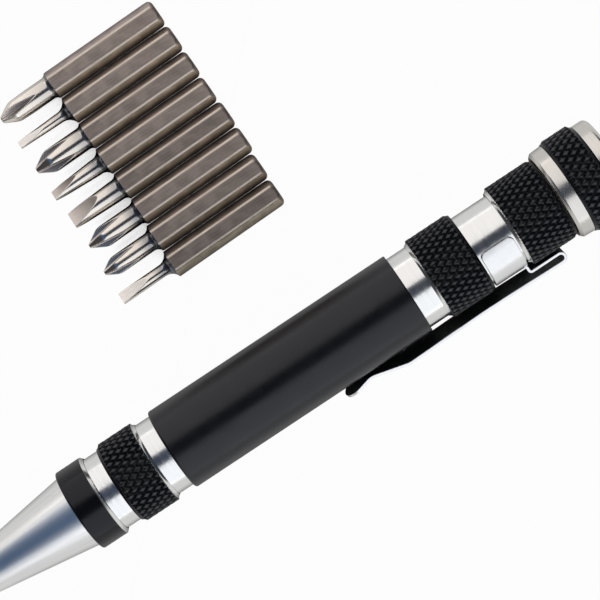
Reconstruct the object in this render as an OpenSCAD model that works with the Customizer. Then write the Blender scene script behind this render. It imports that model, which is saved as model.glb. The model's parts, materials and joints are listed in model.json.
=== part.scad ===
// Pocket screwdriver: a pen-shaped driver with a bit store in its barrel, a spring clip,
// a swivel cap, and a row of eight loose hex bits laid out beside it.
// The driver is drawn upright, nose tip at zero and cap up, then laid on the table.

/* [Nose] */
// Wall of the nose round the socket at its tip
nose_tip_wall = 0.5; // [0.4:0.05:1.2]
// Step from the nose's wide end up to the seat of the front band
nose_step = 0.15; // [0.1:0.05:0.6]
// Length of the tapered nose
nose_l = 17.5; // [16:0.5:24]
// Step from the barrel down to the bright necks between the black bands
neck_step = 0.6; // [0.5:0.05:0.7]
// Width of the plain front band
band_l = 4.6; // [3:0.1:8]
// Width of the bright neck behind the front band
front_neck_l = 2.4; // [1.5:0.1:5]
// Width of the knurled front grip
front_grip_l = 6.6; // [5:0.1:14]
// Width of the bright neck between the front grip and the barrel
mid_neck_l = 2.5; // [1.5:0.1:5]

/* [Bit socket] */
// Wall of the steel socket sleeve at the hex's corners
sleeve_wall = 0.41; // [0.3:0.01:0.5]
// Depth of the hex socket
socket_depth = 11; // [8:0.5:11]
// Thickness of the magnet
magnet_t = 2; // [1:0.1:2]
// Clearance on each flat of a bit in its socket
socket_clear = 0.025; // [0.01:0.005:0.05]

/* [Barrel] */
// Outside diameter of the barrel
barrel_d = 13; // [12.9:0.1:14]
// Length of the barrel
barrel_l = 41.2; // [36:0.1:60]
// Wall of the barrel, thin enough for four bits side by side in its bore
barrel_wall = 1.15; // [1.05:0.05:1.2]
// Wall of the barrel at the threaded seats in its two ends
seat_wall = 0.8; // [0.75:0.05:0.9]
// Depth of those seats
seat_l = 6.3; // [5:0.1:9]
// Radius on the front edges of the barrel and the front band
edge_round = 0.6; // [0.2:0.1:0.9]

/* [Tail] */
// Width of the bright neck behind the barrel
rear_neck_l = 3.2; // [2:0.1:6]
// Width of the knurled rear grip
rear_grip_l = 7.8; // [5:0.1:14]
// Step from the barrel down to the groove that the clip sits in
clip_step = 0.85; // [0.75:0.05:1]
// Width of that groove
clip_groove_l = 6; // [5:0.1:9]
// Width of the knurled tail grip
tail_grip_l = 8.2; // [6:0.1:14]
// Wall of the threaded spigots that enter the barrel
spigot_wall = 0.4; // [0.35:0.05:0.5]

/* [Knurl] */
// How far the knurl stands proud of the barrel
knurl_proud = 0.1; // [0:0.05:0.3]
// Depth of the knurl
knurl_depth = 0.36; // [0.2:0.02:0.45]
// Number of diamonds round a grip
knurl_count = 36; // [24:2:48]
// Length of a diamond along the driver
knurl_pitch = 2; // [1.4:0.1:3]
// Width of the bright chamfers on the grips
grip_chamfer = 0.45; // [0.1:0.05:0.6]

/* [Swivel cap] */
// How far the knurled ring on the cap stands proud of the barrel
cap_proud = 1.2; // [0.9:0.05:2.5]
// How far the bright skirt at the front of the cap stands proud of the barrel
skirt_proud = 0.7; // [0.5:0.05:0.9]
// Length of the skirt
skirt_l = 2.3; // [1.5:0.1:4]
// Width of the knurled ring on the cap
cap_grip_l = 5.2; // [4.5:0.1:10]
// How far the bright end of the cap stands proud of the barrel
end_proud = 0.6; // [0.4:0.05:0.9]
// Length of the bright end of the cap
end_l = 2.4; // [1.5:0.1:4]
// Radius on the edge of the cap's end
end_round = 0.8; // [0.3:0.1:1.2]
// Thickness of the knurled ring on the cap
cap_ring_t = 0.9; // [0.7:0.05:1.2]
// Wall of the cap under its knurled ring
cap_wall = 1.6; // [1.2:0.1:2]
// Diameter of the post that the cap turns on
post_d = 5.2; // [4:0.1:6]
// Thickness of the web that turns on the post
web_t = 2; // [1.2:0.1:2.2]
// Depth to which the end disc is pressed in
plug_l = 1.8; // [1:0.1:2]

/* [Swivel hardware] */
// Diameter of the pivot screw
screw_d = 2.5; // [2:0.1:3]
// Length of the pivot screw under its head
screw_l = 9; // [6:0.5:12]
// Diameter of the pivot screw's head
screw_head_d = 4.8; // [4:0.1:6]
// Height of the pivot screw's head
screw_head_h = 1.3; // [0.8:0.1:1.4]
// Room round the washer under the screw's head
washer_room = 1; // [0.5:0.1:1.5]
// Thickness of both washers
washer_t = 0.5; // [0.3:0.05:0.6]
// Step from the tail's rim in to the thrust washer
thrust_step = 0.65; // [0.3:0.05:1.2]

/* [Clip] */
// Thickness of the clip's spring strip
clip_t = 0.45; // [0.3:0.05:0.6]
// Width of the clip's strip
clip_w = 4.8; // [3.5:0.1:6]
// Angle that the clip's collar wraps round its groove
clip_wrap = 204; // [190:1:230]
// Width of the clip's collar along the driver
collar_l = 5.4; // [4:0.1:5.6]
// Length of the clip's inner leg, from the collar to the bend
leg_l = 5.3; // [3:0.1:7.5]
// Gap between the clip's two legs
leg_gap = 1; // [0.7:0.05:1.5]
// Distance from the bend back to where the clip touches the barrel
clip_reach = 32.6; // [26:0.2:36]
// Height of the clip's belly over the barrel
belly_h = 1.7; // [1.2:0.1:2.4]
// Distance from the belly to the touching point
belly_l = 5.9; // [4:0.1:9]
// How far the middle of the arm is bowed in towards the barrel
arm_bow = 0.25; // [0:0.05:0.4]
// Length of the lifted tip
lip_l = 4.4; // [3:0.1:7]
// Height of the lifted tip over the barrel
lip_h = 1.4; // [0.8:0.1:2.2]
// Angle of the clip below the horizontal as the driver lies
clip_drop = 22; // [0:1:40]

/* [Bits] */
// Width across the flats of a bit
bit_af = 4; // [3.9:0.05:4]
// Width across the rounded corners of a bit
bit_corner_d = 4.42; // [4.2:0.02:4.5]
// Overall length of a bit
bit_l = 28; // [25:0.5:30]
// Length of the hex part of a bit
hex_l = 19; // [16:0.5:21]
// Length of the hollow shoulder between the hex and the shank, beside what its height adds
shoulder_l = 0.3; // [0.2:0.05:1]
// Chamfer on the tail of a bit
bit_chamfer = 0.35; // [0.1:0.05:0.6]
// Shank diameters of the four crosshead bits
cross_d = [3.5, 3.6, 3.3, 2.9]; // [2:0.1:3.6]
// Flat left at the points of the four crosshead bits
cross_flat_d = [1, 0.9, 0.6, 0.7]; // [0.3:0.1:1.6]
// Blade widths of the four slotted bits
slot_w = [1.2, 1.7, 2.7, 1.9]; // [1:0.1:3.2]
// Shank diameters of the four slotted bits
slot_shank_d = [1.6, 2.6, 3.3, 1.9]; // [1.2:0.1:3.6]
// Blade thicknesses of the four slotted bits
slot_t = [0.35, 0.45, 0.55, 0.4]; // [0.25:0.05:0.8]
// Gap between neighbouring bits
bit_gap = 0.1; // [0.05:0.05:3]
// Turn of the row of bits, seen from above
row_turn = 1.3; // [0:0.1:5]
// Distance from the driver's axis to the middle of the row
row_y = 38.7; // [30:0.1:60]
// Distance from the nose tip to the middle of the row
row_x = 53.5; // [30:0.5:80]

/* [Fits] */
// Radial clearance of a pressed or glued ring
press_clear = 0.02; // [0.01:0.005:0.03]
// Radial clearance of a screwed or turning fit
run_clear = 0.05; // [0.03:0.01:0.08]
// Radial clearance of the clip's collar in its groove
collar_clear = 0.1; // [0.05:0.01:0.15]
// Gap between the tail and the skirt of the swivel cap
swivel_gap = 0.15; // [0.1:0.05:0.3]
// End play of the swivel cap
end_play = 0.05; // [0.03:0.01:0.1]
// Gap left under the clip where it would press on the barrel
clip_gap = 0.1; // [0.05:0.05:0.2]

/* [Hidden] */
$fn = 96;

// Colours of the finishes
bright = "gainsboro";
black = [0.13, 0.13, 0.14];
steel = [0.72, 0.72, 0.74];
gunmetal = [0.47, 0.44, 0.41];

// How far a cut runs past the face that it opens
over = 1;
// Least flat left beside a rounded edge
land = 0.05;
// Space left beyond the end of a spigot in its seat
spigot_relief = 0.3;
// Wall of the socket sleeve behind the magnet, and the play behind the sleeve
sleeve_floor = 0.5;
sleeve_play = 0.05;
// Solid length of the nose inside the front band, and depth of the store in the tail
store_floor = 3;
tail_bore_l = 4;
// Flare of the skirt, and space round the thrust washer
skirt_flare = 0.1;
recess_clear = 0.2;
// Share of a grip's wall that a chamfered end and a plain end take off
cut_end = 0.8;
plain_end = 0.2;
// Radius on the pivot screw's head
head_round = 0.5;
// Radii of the clip's bow, belly and touching point
bow_round = 60;
belly_round = 3;
touch_round = 2.5;
// Half angle of a crosshead point, and its flutes' root and length as shares of the shank
point_half = 30;
flute_root = 0.1;
flute_share = 0.78;
// Tapered length of a slotted shank, and length at which its ground faces would be two shanks apart,
// as shares of the shank
taper_share = 0.9;
ramp_share = 1.2;

// Places along the driver, from the nose tip
band_z = nose_l;
front_neck_z = band_z + band_l;
front_grip_z = front_neck_z + front_neck_l;
mid_neck_z = front_grip_z + front_grip_l;
barrel_z = mid_neck_z + mid_neck_l;
rear_neck_z = barrel_z + barrel_l;
rear_grip_z = rear_neck_z + rear_neck_l;
clip_z = rear_grip_z + rear_grip_l;
tail_grip_z = clip_z + clip_groove_l;
tail_end_z = tail_grip_z + tail_grip_l;
skirt_z = tail_end_z + swivel_gap;
cap_grip_z = skirt_z + skirt_l;
end_z = cap_grip_z + cap_grip_l;
total_l = end_z + end_l;

// Radii that pieces share
barrel_r = barrel_d / 2;
store_r = barrel_r - barrel_wall;
seat_r = barrel_r - seat_wall;
grip_r = barrel_r + knurl_proud;
groove_r = barrel_r - neck_step;
nose_base_r = groove_r - nose_step;
clip_groove_r = barrel_r - clip_step;
cap_r = barrel_r + cap_proud;
skirt_r = barrel_r + skirt_proud;
end_r = barrel_r + end_proud;
cap_seat_r = cap_r - cap_ring_t;
pocket_r = cap_seat_r - cap_wall;
spigot_r = seat_r - run_clear;
spigot_bore_r = spigot_r - spigot_wall;
spigot_l = seat_l - spigot_relief;

// The socket sleeve and the wall behind it
socket_hex_d = (bit_af + 2 * socket_clear) / cos(30);
socket_r = socket_hex_d / 2 + sleeve_wall;
nose_tip_r = socket_r + nose_tip_wall;
magnet_r = bit_af / 2;
sleeve_l = socket_depth + magnet_t + sleeve_floor;
store_floor_z = band_z + store_floor;

// Planes of the swivel
web_z = tail_end_z + washer_t;
web_end_z = web_z + web_t;
post_end_z = web_end_z + end_play;
washer_end_z = post_end_z + washer_t;
thrust_r = clip_groove_r - thrust_step;
thrust_recess_r = thrust_r + recess_clear;
washer_r = pocket_r - washer_room;
screw_hole_l = screw_l + over;

// Clip: radii of the middle of its strip, and places along the driver
collar_r = clip_groove_r + collar_clear;
collar_z = clip_z + (clip_groove_l - collar_l) / 2;
leg_r = grip_r + clip_gap + clip_t / 2;
arm_r = leg_r + clip_t + leg_gap;
bend_r = (arm_r - leg_r) / 2;
bend_z = tail_grip_z + leg_l - bend_r - clip_t / 2;
touch_r = barrel_r + clip_gap + clip_t / 2;
touch_z = bend_z - clip_reach;
belly_z = touch_z + belly_l;
lip_z = touch_z - lip_l;
clip_slack = 0.2;
// Angle of the fine gap between the clip's two halves, at the top of the bend
clip_split = 2;

// How the driver lies: on its front grip and on the knurled ring of its cap
lie = atan((cap_r - grip_r) / (cap_grip_z - front_grip_z));
tip_height = grip_r * cos(lie) - front_grip_z * sin(lie);

// Distance between the middles of neighbouring bits
bit_pitch = bit_corner_d + bit_gap;

// Middle of the whole set on the table, which is the origin
clip_far_r = max(arm_r + clip_t / 2, barrel_r + belly_h + clip_t);
clip_far_y = clip_far_r * cos(clip_drop) + clip_w / 2 * sin(clip_drop);
row_half = 3.5 * bit_pitch + bit_corner_d / 2;
row_far_y = row_y + row_half * cos(row_turn) + bit_l / 2 * sin(row_turn);
origin_x = total_l * cos(lie) / 2;
origin_y = (row_far_y - clip_far_y) / 2;

// Length that a bit's shoulder gains with its height, and length of a shank that runs on inside it
shoulder_gain = 1.1;
shank_root = 0.5;

// How far each bit lies behind its neighbours, and how far it is rolled
bit_shift = [0, 0.05, 0, -0.1, 0.05, 0, -0.4, -0.55];
bit_roll = [42, -12, 0, -32, -22, 3, 5, -12];

// Points of an arc, from one angle to another
function arc(cx, cy, r, from, to, steps = 6) =
    [for (i = [0 : steps]) let(a = from + (to - from) * i / steps) [cx + r * cos(a), cy + r * sin(a)]];

function unit(v) = v / norm(v);

// A path whose inner corners are rounded, each with its own radius
function rounded_path(points, radii, steps = 5) = [
    for (i = [0 : len(points) - 1])
        let(r = radii[i])
        if (r == 0) points[i]
        else
            let(
                back = unit(points[i - 1] - points[i]),
                ahead = unit(points[i + 1] - points[i]),
                half = acos(back * ahead) / 2,
                middle = points[i] + unit(back + ahead) * r / sin(half),
                start = points[i] + back * r / tan(half) - middle,
                end = points[i] + ahead * r / tan(half) - middle
            )
            each [for (k = [0 : steps]) middle + r * unit(start + (end - start) * k / steps)]
];

// The outline of a strip of even thickness along a path, with its directions at both ends
function strip_outline(path, t, first, final) =
    let(
        last = len(path) - 1,
        normals = [for (i = [0 : last])
            let(d = i == 0 ? first : i == last ? final : unit(path[i + 1] - path[i - 1]))
            [-d[1], d[0]]]
    )
    concat(
        [for (i = [0 : last]) path[i] + normals[i] * t / 2],
        [for (i = [last : -1 : 0]) path[i] - normals[i] * t / 2]
    );

// Lays an upright piece of the driver on the table
module lay_driver() {
    translate([-origin_x, -origin_y, tip_height])
        rotate([0, 90 - lie, 0])
            children();
}

// A plain ring with a bore, whose outline is given from its bore outwards
module turned(profile) {
    rotate_extrude() polygon(profile);
}

// A sleeve covered with diamonds: its crests and roots alternate round each row,
// and its ends are cut down by a share of the wall that the roots leave
module knurled_ring(crest_r, bore_r, length, front_share, rear_share) {
    columns = 2 * knurl_count;
    root_r = crest_r - knurl_depth;
    rows = max(2, round((length - 2 * grip_chamfer) / (knurl_pitch / 2)));
    step = (length - 2 * grip_chamfer) / rows;
    ring_z = concat([0], [for (j = [0 : rows]) grip_chamfer + j * step], [length]);
    function ring_r(j, c) =
        j == 0 ? root_r - front_share * (root_r - bore_r)
        : j == rows + 2 ? root_r - rear_share * (root_r - bore_r)
        : (j + c) % 2 == 0 ? crest_r : root_r;
    points = [for (j = [0 : rows + 2], c = [0 : columns - 1])
        let(a = 360 * c / columns, r = ring_r(j, c)) [r * cos(a), r * sin(a), ring_z[j]]];
    function at(j, c) = j * columns + c % columns;
    sides = [for (j = [0 : rows + 1], c = [0 : columns - 1])
        each (j + c) % 2 == 0
            ? [[at(j, c), at(j + 1, c), at(j, c + 1)], [at(j + 1, c), at(j + 1, c + 1), at(j, c + 1)]]
            : [[at(j, c), at(j + 1, c + 1), at(j, c + 1)], [at(j, c), at(j + 1, c), at(j + 1, c + 1)]]];
    front = [[for (c = [0 : columns - 1]) at(0, c)]];
    rear = [[for (c = [columns - 1 : -1 : 0]) at(rows + 2, c)]];
    difference() {
        polyhedron(points, concat(sides, front, rear));
        translate([0, 0, -over]) cylinder(r = bore_r, h = length + 2 * over);
    }
}

module nose_cone() {
    color(bright) lay_driver()
        difference() {
            turned([
                [0, 0], [nose_tip_r, 0], [nose_base_r, nose_l], [groove_r, nose_l],
                [groove_r, barrel_z], [spigot_r, barrel_z],
                [spigot_r, barrel_z + spigot_l], [0, barrel_z + spigot_l],
            ]);
            translate([0, 0, -over])
                cylinder(r = socket_r + press_clear, h = sleeve_l + sleeve_play + over);
            translate([0, 0, store_floor_z]) cylinder(r = spigot_bore_r, h = total_l);
        }
}

module front_band() {
    bore_r = groove_r + press_clear;
    round_r = min(edge_round, barrel_r - bore_r - land);
    color(black) lay_driver() translate([0, 0, band_z])
        turned(concat(
            [[bore_r, 0]],
            arc(barrel_r - round_r, round_r, round_r, -90, 0),
            [
                [barrel_r, band_l - grip_chamfer],
                [barrel_r - grip_chamfer, band_l],
                [bore_r, band_l],
            ]
        ));
}

module front_grip() {
    color(black) lay_driver() translate([0, 0, front_grip_z])
        knurled_ring(grip_r, groove_r + press_clear, front_grip_l, cut_end, cut_end);
}

module bit_socket() {
    color(steel) lay_driver()
        difference() {
            cylinder(r = socket_r, h = sleeve_l);
            translate([0, 0, -over]) cylinder(d = socket_hex_d, h = socket_depth + over, $fn = 6);
            translate([0, 0, socket_depth - over])
                cylinder(r = magnet_r + press_clear, h = magnet_t + over);
        }
}

module socket_magnet() {
    color("darkgray") lay_driver() translate([0, 0, socket_depth])
        cylinder(r = magnet_r, h = magnet_t);
}

module barrel() {
    color(black) lay_driver() translate([0, 0, barrel_z])
        difference() {
            turned(concat(
                [[0, 0]],
                arc(barrel_r - edge_round, edge_round, edge_round, -90, 0),
                [[barrel_r, barrel_l], [0, barrel_l]]
            ));
            translate([0, 0, -over]) cylinder(r = store_r, h = barrel_l + 2 * over);
            translate([0, 0, -over]) cylinder(r = seat_r, h = seat_l + over);
            translate([0, 0, barrel_l - seat_l]) cylinder(r = seat_r, h = seat_l + over);
        }
}

module tail_body() {
    color(bright) lay_driver()
        difference() {
            turned([
                [0, rear_neck_z - spigot_l], [spigot_r, rear_neck_z - spigot_l],
                [spigot_r, rear_neck_z], [groove_r, rear_neck_z],
                [groove_r, clip_z], [clip_groove_r, clip_z],
                [clip_groove_r, tail_end_z], [post_d / 2, tail_end_z],
                [post_d / 2, post_end_z], [0, post_end_z],
            ]);
            translate([0, 0, rear_neck_z - spigot_l - over])
                cylinder(r = spigot_bore_r, h = spigot_l + tail_bore_l + over);
            translate([0, 0, post_end_z - screw_hole_l])
                cylinder(d = screw_d + 2 * press_clear, h = screw_hole_l + over);
        }
}

module rear_grip() {
    color(black) lay_driver() translate([0, 0, rear_grip_z])
        knurled_ring(grip_r, groove_r + press_clear, rear_grip_l, cut_end, plain_end);
}

module tail_grip() {
    color(black) lay_driver() translate([0, 0, tail_grip_z])
        knurled_ring(grip_r, clip_groove_r + press_clear, tail_grip_l, cut_end, plain_end);
}

module washer(outer_r, bore_r) {
    difference() {
        cylinder(r = outer_r, h = washer_t);
        translate([0, 0, -over]) cylinder(r = bore_r, h = washer_t + 2 * over);
    }
}

module thrust_washer() {
    color("ivory") lay_driver() translate([0, 0, tail_end_z])
        washer(thrust_r, post_d / 2 + run_clear);
}

module swivel_washer() {
    color(steel) lay_driver() translate([0, 0, post_end_z])
        washer(washer_r, screw_d / 2 + run_clear);
}

module pivot_screw() {
    color(steel) lay_driver() {
        translate([0, 0, washer_end_z - screw_l]) cylinder(d = screw_d, h = screw_l);
        translate([0, 0, washer_end_z])
            turned(concat(
                [[0, 0], [screw_head_d / 2, 0]],
                arc(screw_head_d / 2 - head_round, screw_head_h - head_round, head_round, 0, 90),
                [[0, screw_head_h]]
            ));
    }
}

module cap_shell() {
    color(bright) lay_driver()
        difference() {
            turned([
                [0, skirt_z], [skirt_r - grip_chamfer, skirt_z],
                [skirt_r, skirt_z + grip_chamfer], [skirt_r + skirt_flare, cap_grip_z],
                [cap_seat_r, cap_grip_z], [cap_seat_r, end_z], [0, end_z],
            ]);
            translate([0, 0, skirt_z - over])
                cylinder(r = thrust_recess_r, h = web_z + end_play - skirt_z + over);
            translate([0, 0, skirt_z - over])
                cylinder(d = post_d + 2 * run_clear, h = cap_grip_l + skirt_l);
            translate([0, 0, web_end_z]) cylinder(r = pocket_r, h = total_l);
        }
}

module cap_grip() {
    color(black) lay_driver() translate([0, 0, cap_grip_z])
        knurled_ring(cap_r, cap_seat_r + press_clear, cap_grip_l, plain_end, cut_end);
}

module end_disc() {
    plug_r = pocket_r - press_clear;
    color(bright) lay_driver() translate([0, 0, end_z])
        turned(concat(
            [[0, -plug_l], [plug_r, -plug_l], [plug_r, 0], [end_r, 0]],
            arc(end_r - end_round, end_l - end_round, end_round, 0, 90),
            [[0, end_l]]
        ));
}

// Puts a clip piece, drawn in the plane of the strip, at its place round the driver
module place_clip() {
    lay_driver() rotate([0, 0, clip_drop - 90]) children();
}

// A strip along a path of radius and place along the driver, as wide as the clip
module clip_strip(path, first, final) {
    rotate([90, 0, 0])
        linear_extrude(clip_w, center = true) polygon(strip_outline(path, clip_t, first, final));
}

// The collar snaps round its groove; a tab steps up over the tail grip and runs to the bend
module clip_collar() {
    mid_r = collar_r + clip_t / 2;
    tab_z = tail_grip_z - clip_gap - clip_t / 2 - clip_slack;
    tab = rounded_path(
        [[mid_r, collar_z + clip_t], [mid_r, tab_z], [leg_r, tab_z], [leg_r, bend_z]],
        [0, 0, clip_t, 0]
    );
    bend = arc(leg_r + bend_r, bend_z, bend_r, 180, 90);
    color(steel) place_clip() {
        translate([0, 0, collar_z])
            rotate([0, 0, -clip_wrap / 2])
                rotate_extrude(angle = clip_wrap)
                    translate([collar_r, 0]) square([clip_t, collar_l]);
        clip_strip(concat(tab, [for (i = [1 : len(bend) - 1]) bend[i]]), [0, 1], [1, 0]);
    }
}

// The arm runs from the bend to the belly, dips to the barrel and ends in a round lip
module clip_arm() {
    split_a = 90 - clip_split;
    bend = arc(leg_r + bend_r, bend_z, bend_r, split_a, 0);
    run = rounded_path(
        [
            [arm_r, bend_z - clip_t],
            [arm_r - arm_bow, (bend_z + belly_z) / 2],
            [barrel_r + belly_h + clip_t / 2, belly_z],
            [touch_r, touch_z],
            [barrel_r + lip_h + clip_t / 2, lip_z],
        ],
        [0, bow_round, belly_round, touch_round, 0]
    );
    lip_way = unit([barrel_r + lip_h + clip_t / 2 - touch_r, lip_z - touch_z]);
    color(steel) place_clip()
        intersection() {
            clip_strip(concat(bend, run), [sin(split_a), -cos(split_a)], lip_way);
            union() {
                translate([0, -clip_w, lip_z + clip_w / 2])
                    cube([2 * cap_r, 2 * clip_w, clip_reach + lip_l + bend_r]);
                translate([0, 0, lip_z + clip_w / 2]) rotate([0, 90, 0]) cylinder(d = clip_w, h = 2 * cap_r);
            }
        }
}

// Lays a bit, drawn upright with its point at zero, at its place in the row
module lay_bit(place) {
    translate([row_x - origin_x, row_y - origin_y, bit_af / 2])
        rotate([0, 0, row_turn])
            translate([bit_shift[place] - bit_l / 2, (3.5 - place) * bit_pitch, 0])
                rotate([0, 90, 0]) children();
}

// Lengths of the shoulder and of the shank of a bit
function shoulder_of(shank_d) = shoulder_l + shoulder_gain * (bit_corner_d - shank_d) / 2;
function shank_of(shank_d) = bit_l - hex_l - shoulder_of(shank_d) + shank_root;

// The hex body, its chamfered tail and the hollow shoulder down to the shank
module bit_body(shank_d) {
    hex_z = bit_l - hex_l;
    rise = (bit_corner_d - shank_d) / 2;
    hollow_l = shoulder_of(shank_d);
    hollow_r = (rise * rise + hollow_l * hollow_l) / (2 * rise);
    sweep = asin(min(1, hollow_l / hollow_r));
    intersection() {
        rotate([0, 0, 30]) cylinder(d = bit_af / cos(30), h = bit_l, $fn = 6);
        turned(concat(
            [[0, hex_z - hollow_l]],
            arc(shank_d / 2 + hollow_r, hex_z - hollow_l, hollow_r, 180, 180 - sweep),
            [
                [bit_corner_d / 2, bit_l - bit_chamfer],
                [bit_corner_d / 2 - 2 * bit_chamfer, bit_l],
                [0, bit_l],
            ]
        ));
    }
}

// A crosshead bit: a pointed shank with four flutes that run out towards the shoulder
module cross_bit(place, size) {
    shank_d = cross_d[size];
    shank_l = shank_of(shank_d);
    point_l = (shank_d - cross_flat_d[size]) / 2 / tan(point_half);
    root_r = shank_d * flute_root;
    flute_l = shank_l * flute_share;
    flute_tilt = atan((shank_d / 2 - root_r) / flute_l);
    color(gunmetal) lay_bit(place) {
        bit_body(shank_d);
        rotate([0, 0, bit_roll[place]])
            difference() {
                turned([
                    [0, 0], [cross_flat_d[size] / 2, 0], [shank_d / 2, point_l],
                    [shank_d / 2, shank_l], [0, shank_l],
                ]);
                for (turn = [0 : 90 : 270])
                    rotate([0, 0, turn + 45]) translate([root_r, 0, 0]) rotate([0, flute_tilt, 0])
                        translate([0, 0, -over]) linear_extrude(bit_l)
                            polygon([[0, 0], [shank_d, shank_d], [shank_d, -shank_d]]);
            }
    }
}

// A slotted bit: a shank ground to a blade, narrower and thinner towards its end
module slot_bit(place, size) {
    shank_d = slot_shank_d[size];
    shank_l = shank_of(shank_d);
    ramp_l = shank_l * ramp_share;
    blade = slot_t[size] / 2;
    color(gunmetal) lay_bit(place) {
        bit_body(shank_d);
        rotate([0, 0, bit_roll[place]])
            intersection() {
                turned([
                    [0, 0], [slot_w[size] / 2, 0], [shank_d / 2, shank_l * taper_share],
                    [shank_d / 2, shank_l], [0, shank_l],
                ]);
                rotate([90, 0, 0])
                    linear_extrude(2 * shank_d, center = true)
                        polygon([[-blade, 0], [blade, 0], [shank_d, ramp_l], [-shank_d, ramp_l]]);
            }
    }
}

nose_cone();
front_band();
front_grip();
bit_socket();
socket_magnet();
barrel();
tail_body();
rear_grip();
tail_grip();
thrust_washer();
pivot_screw();
swivel_washer();
cap_shell();
cap_grip();
end_disc();
clip_collar();
clip_arm();
cross_bit(0, 0);  // cross_bit_1
slot_bit(1, 0);  // slot_bit_1
cross_bit(2, 1);  // cross_bit_2
slot_bit(3, 1);  // slot_bit_2
slot_bit(4, 2);  // slot_bit_3
cross_bit(5, 2);  // cross_bit_3
cross_bit(6, 3);  // cross_bit_4
slot_bit(7, 3);  // slot_bit_4
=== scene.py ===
"""A pocket screwdriver and its eight bits, dressed and lit as they lie on the table."""

import json
import logging
import math
from dataclasses import dataclass, field
from enum import Enum
from typing import Any, Callable, ClassVar, NamedTuple, Sequence

import bmesh
import bpy
import numpy as np
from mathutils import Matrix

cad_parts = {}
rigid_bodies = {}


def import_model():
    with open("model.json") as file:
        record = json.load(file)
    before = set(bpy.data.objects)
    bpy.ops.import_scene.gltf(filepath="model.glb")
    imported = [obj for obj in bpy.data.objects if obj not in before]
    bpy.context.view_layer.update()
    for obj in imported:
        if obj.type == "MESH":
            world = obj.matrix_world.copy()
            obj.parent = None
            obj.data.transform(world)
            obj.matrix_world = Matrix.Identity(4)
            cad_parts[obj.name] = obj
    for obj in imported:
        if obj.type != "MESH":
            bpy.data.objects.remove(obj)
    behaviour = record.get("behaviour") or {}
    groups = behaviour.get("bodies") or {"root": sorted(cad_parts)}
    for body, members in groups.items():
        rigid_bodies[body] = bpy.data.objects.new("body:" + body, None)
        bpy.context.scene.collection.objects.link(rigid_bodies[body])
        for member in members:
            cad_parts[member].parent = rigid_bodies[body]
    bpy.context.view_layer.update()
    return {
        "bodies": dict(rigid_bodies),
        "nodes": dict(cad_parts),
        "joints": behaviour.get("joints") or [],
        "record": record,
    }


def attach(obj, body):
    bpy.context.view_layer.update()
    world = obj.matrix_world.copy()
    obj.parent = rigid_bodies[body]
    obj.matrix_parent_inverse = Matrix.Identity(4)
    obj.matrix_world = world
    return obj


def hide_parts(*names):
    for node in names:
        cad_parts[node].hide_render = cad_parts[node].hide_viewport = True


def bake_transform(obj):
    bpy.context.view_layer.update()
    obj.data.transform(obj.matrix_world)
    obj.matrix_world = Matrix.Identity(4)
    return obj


LOG = logging.getLogger("pocket_driver")
MM = 0.001
SPOT = "spot"
ZONES = "zones"
CUT = "cut"
GLOSS = "Specular IOR Level"
TINY = 1e-9
MERGE = 1e-7
SLIM = 1e-3
STRAIGHT = 0.01
ROUND_SHARE = 0.48
CORNER_SHARE = 0.49
BRACE = 0.12
BRACE_SHARE = 0.3
BEYOND = 9.0
NOISE_MIDDLE = (0.3, 0.7)
FULL_TURN = 2 * math.pi
SIXTH = math.pi / 3

Array = np.ndarray
Colour = tuple[float, float, float]
Corner = tuple[float, float, float]
Ins = dict[Any, Any]
Pair = tuple[float, float]
Placing = Callable[[Array], Array]
Point = tuple[float, float]
Range = tuple[float, ...]
Ridge = Callable[[Array, float, float], Array]


class Slot(Enum):
    """The record's material slots."""

    BRIGHT = "bright_aluminium"
    BLACK = "black_anodised"
    SPRING = "spring_steel"
    PLATED = "plated_steel"
    TOOL = "tool_steel"
    MAGNET = "magnet"
    NYLON = "nylon"


class Coords(Enum):
    """Where a finish reads its place on a piece."""

    SPOT = "the piece's own millimetres, kept on its points"
    OBJECT = "the row's frame"


class Weave(Enum):
    """What the pattern of a finish follows."""

    GRAIN = "nothing"
    LINES = "the length"
    RINGS = "the turning"
    STREAKS = "the taper"


class Tip(Enum):
    """The two kinds of bit."""

    CROSS = "cross"
    SLOT = "slot"


# Nodes


def operator(operation: str, swapped: bool = False) -> Callable[["Signal", Any], "Signal"]:
    """Makes an operator of signals.

    Args:
        operation: what its Math node does.
        swapped: whether the other value comes first.

    Returns:
        The operator.
    """
    def apply(self: "Signal", other: Any) -> "Signal":
        """Adds the node and returns its result."""
        return self.graph.math(operation, *((other, self) if swapped else (self, other)))

    return apply


@dataclass(eq=False)
class Signal:
    """An output of a node. Arithmetic on it adds Math nodes."""

    graph: "Graph"
    socket: bpy.types.NodeSocket

    __add__ = __radd__ = operator("ADD")
    __mul__ = __rmul__ = operator("MULTIPLY")
    __sub__, __rsub__ = operator("SUBTRACT"), operator("SUBTRACT", True)
    __truediv__, __pow__ = operator("DIVIDE"), operator("POWER")
    __gt__, __lt__ = operator("GREATER_THAN"), operator("LESS_THAN")

    def __abs__(self) -> "Signal":
        """Returns the value without its sign."""
        return self.graph.math("ABSOLUTE", self)


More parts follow.
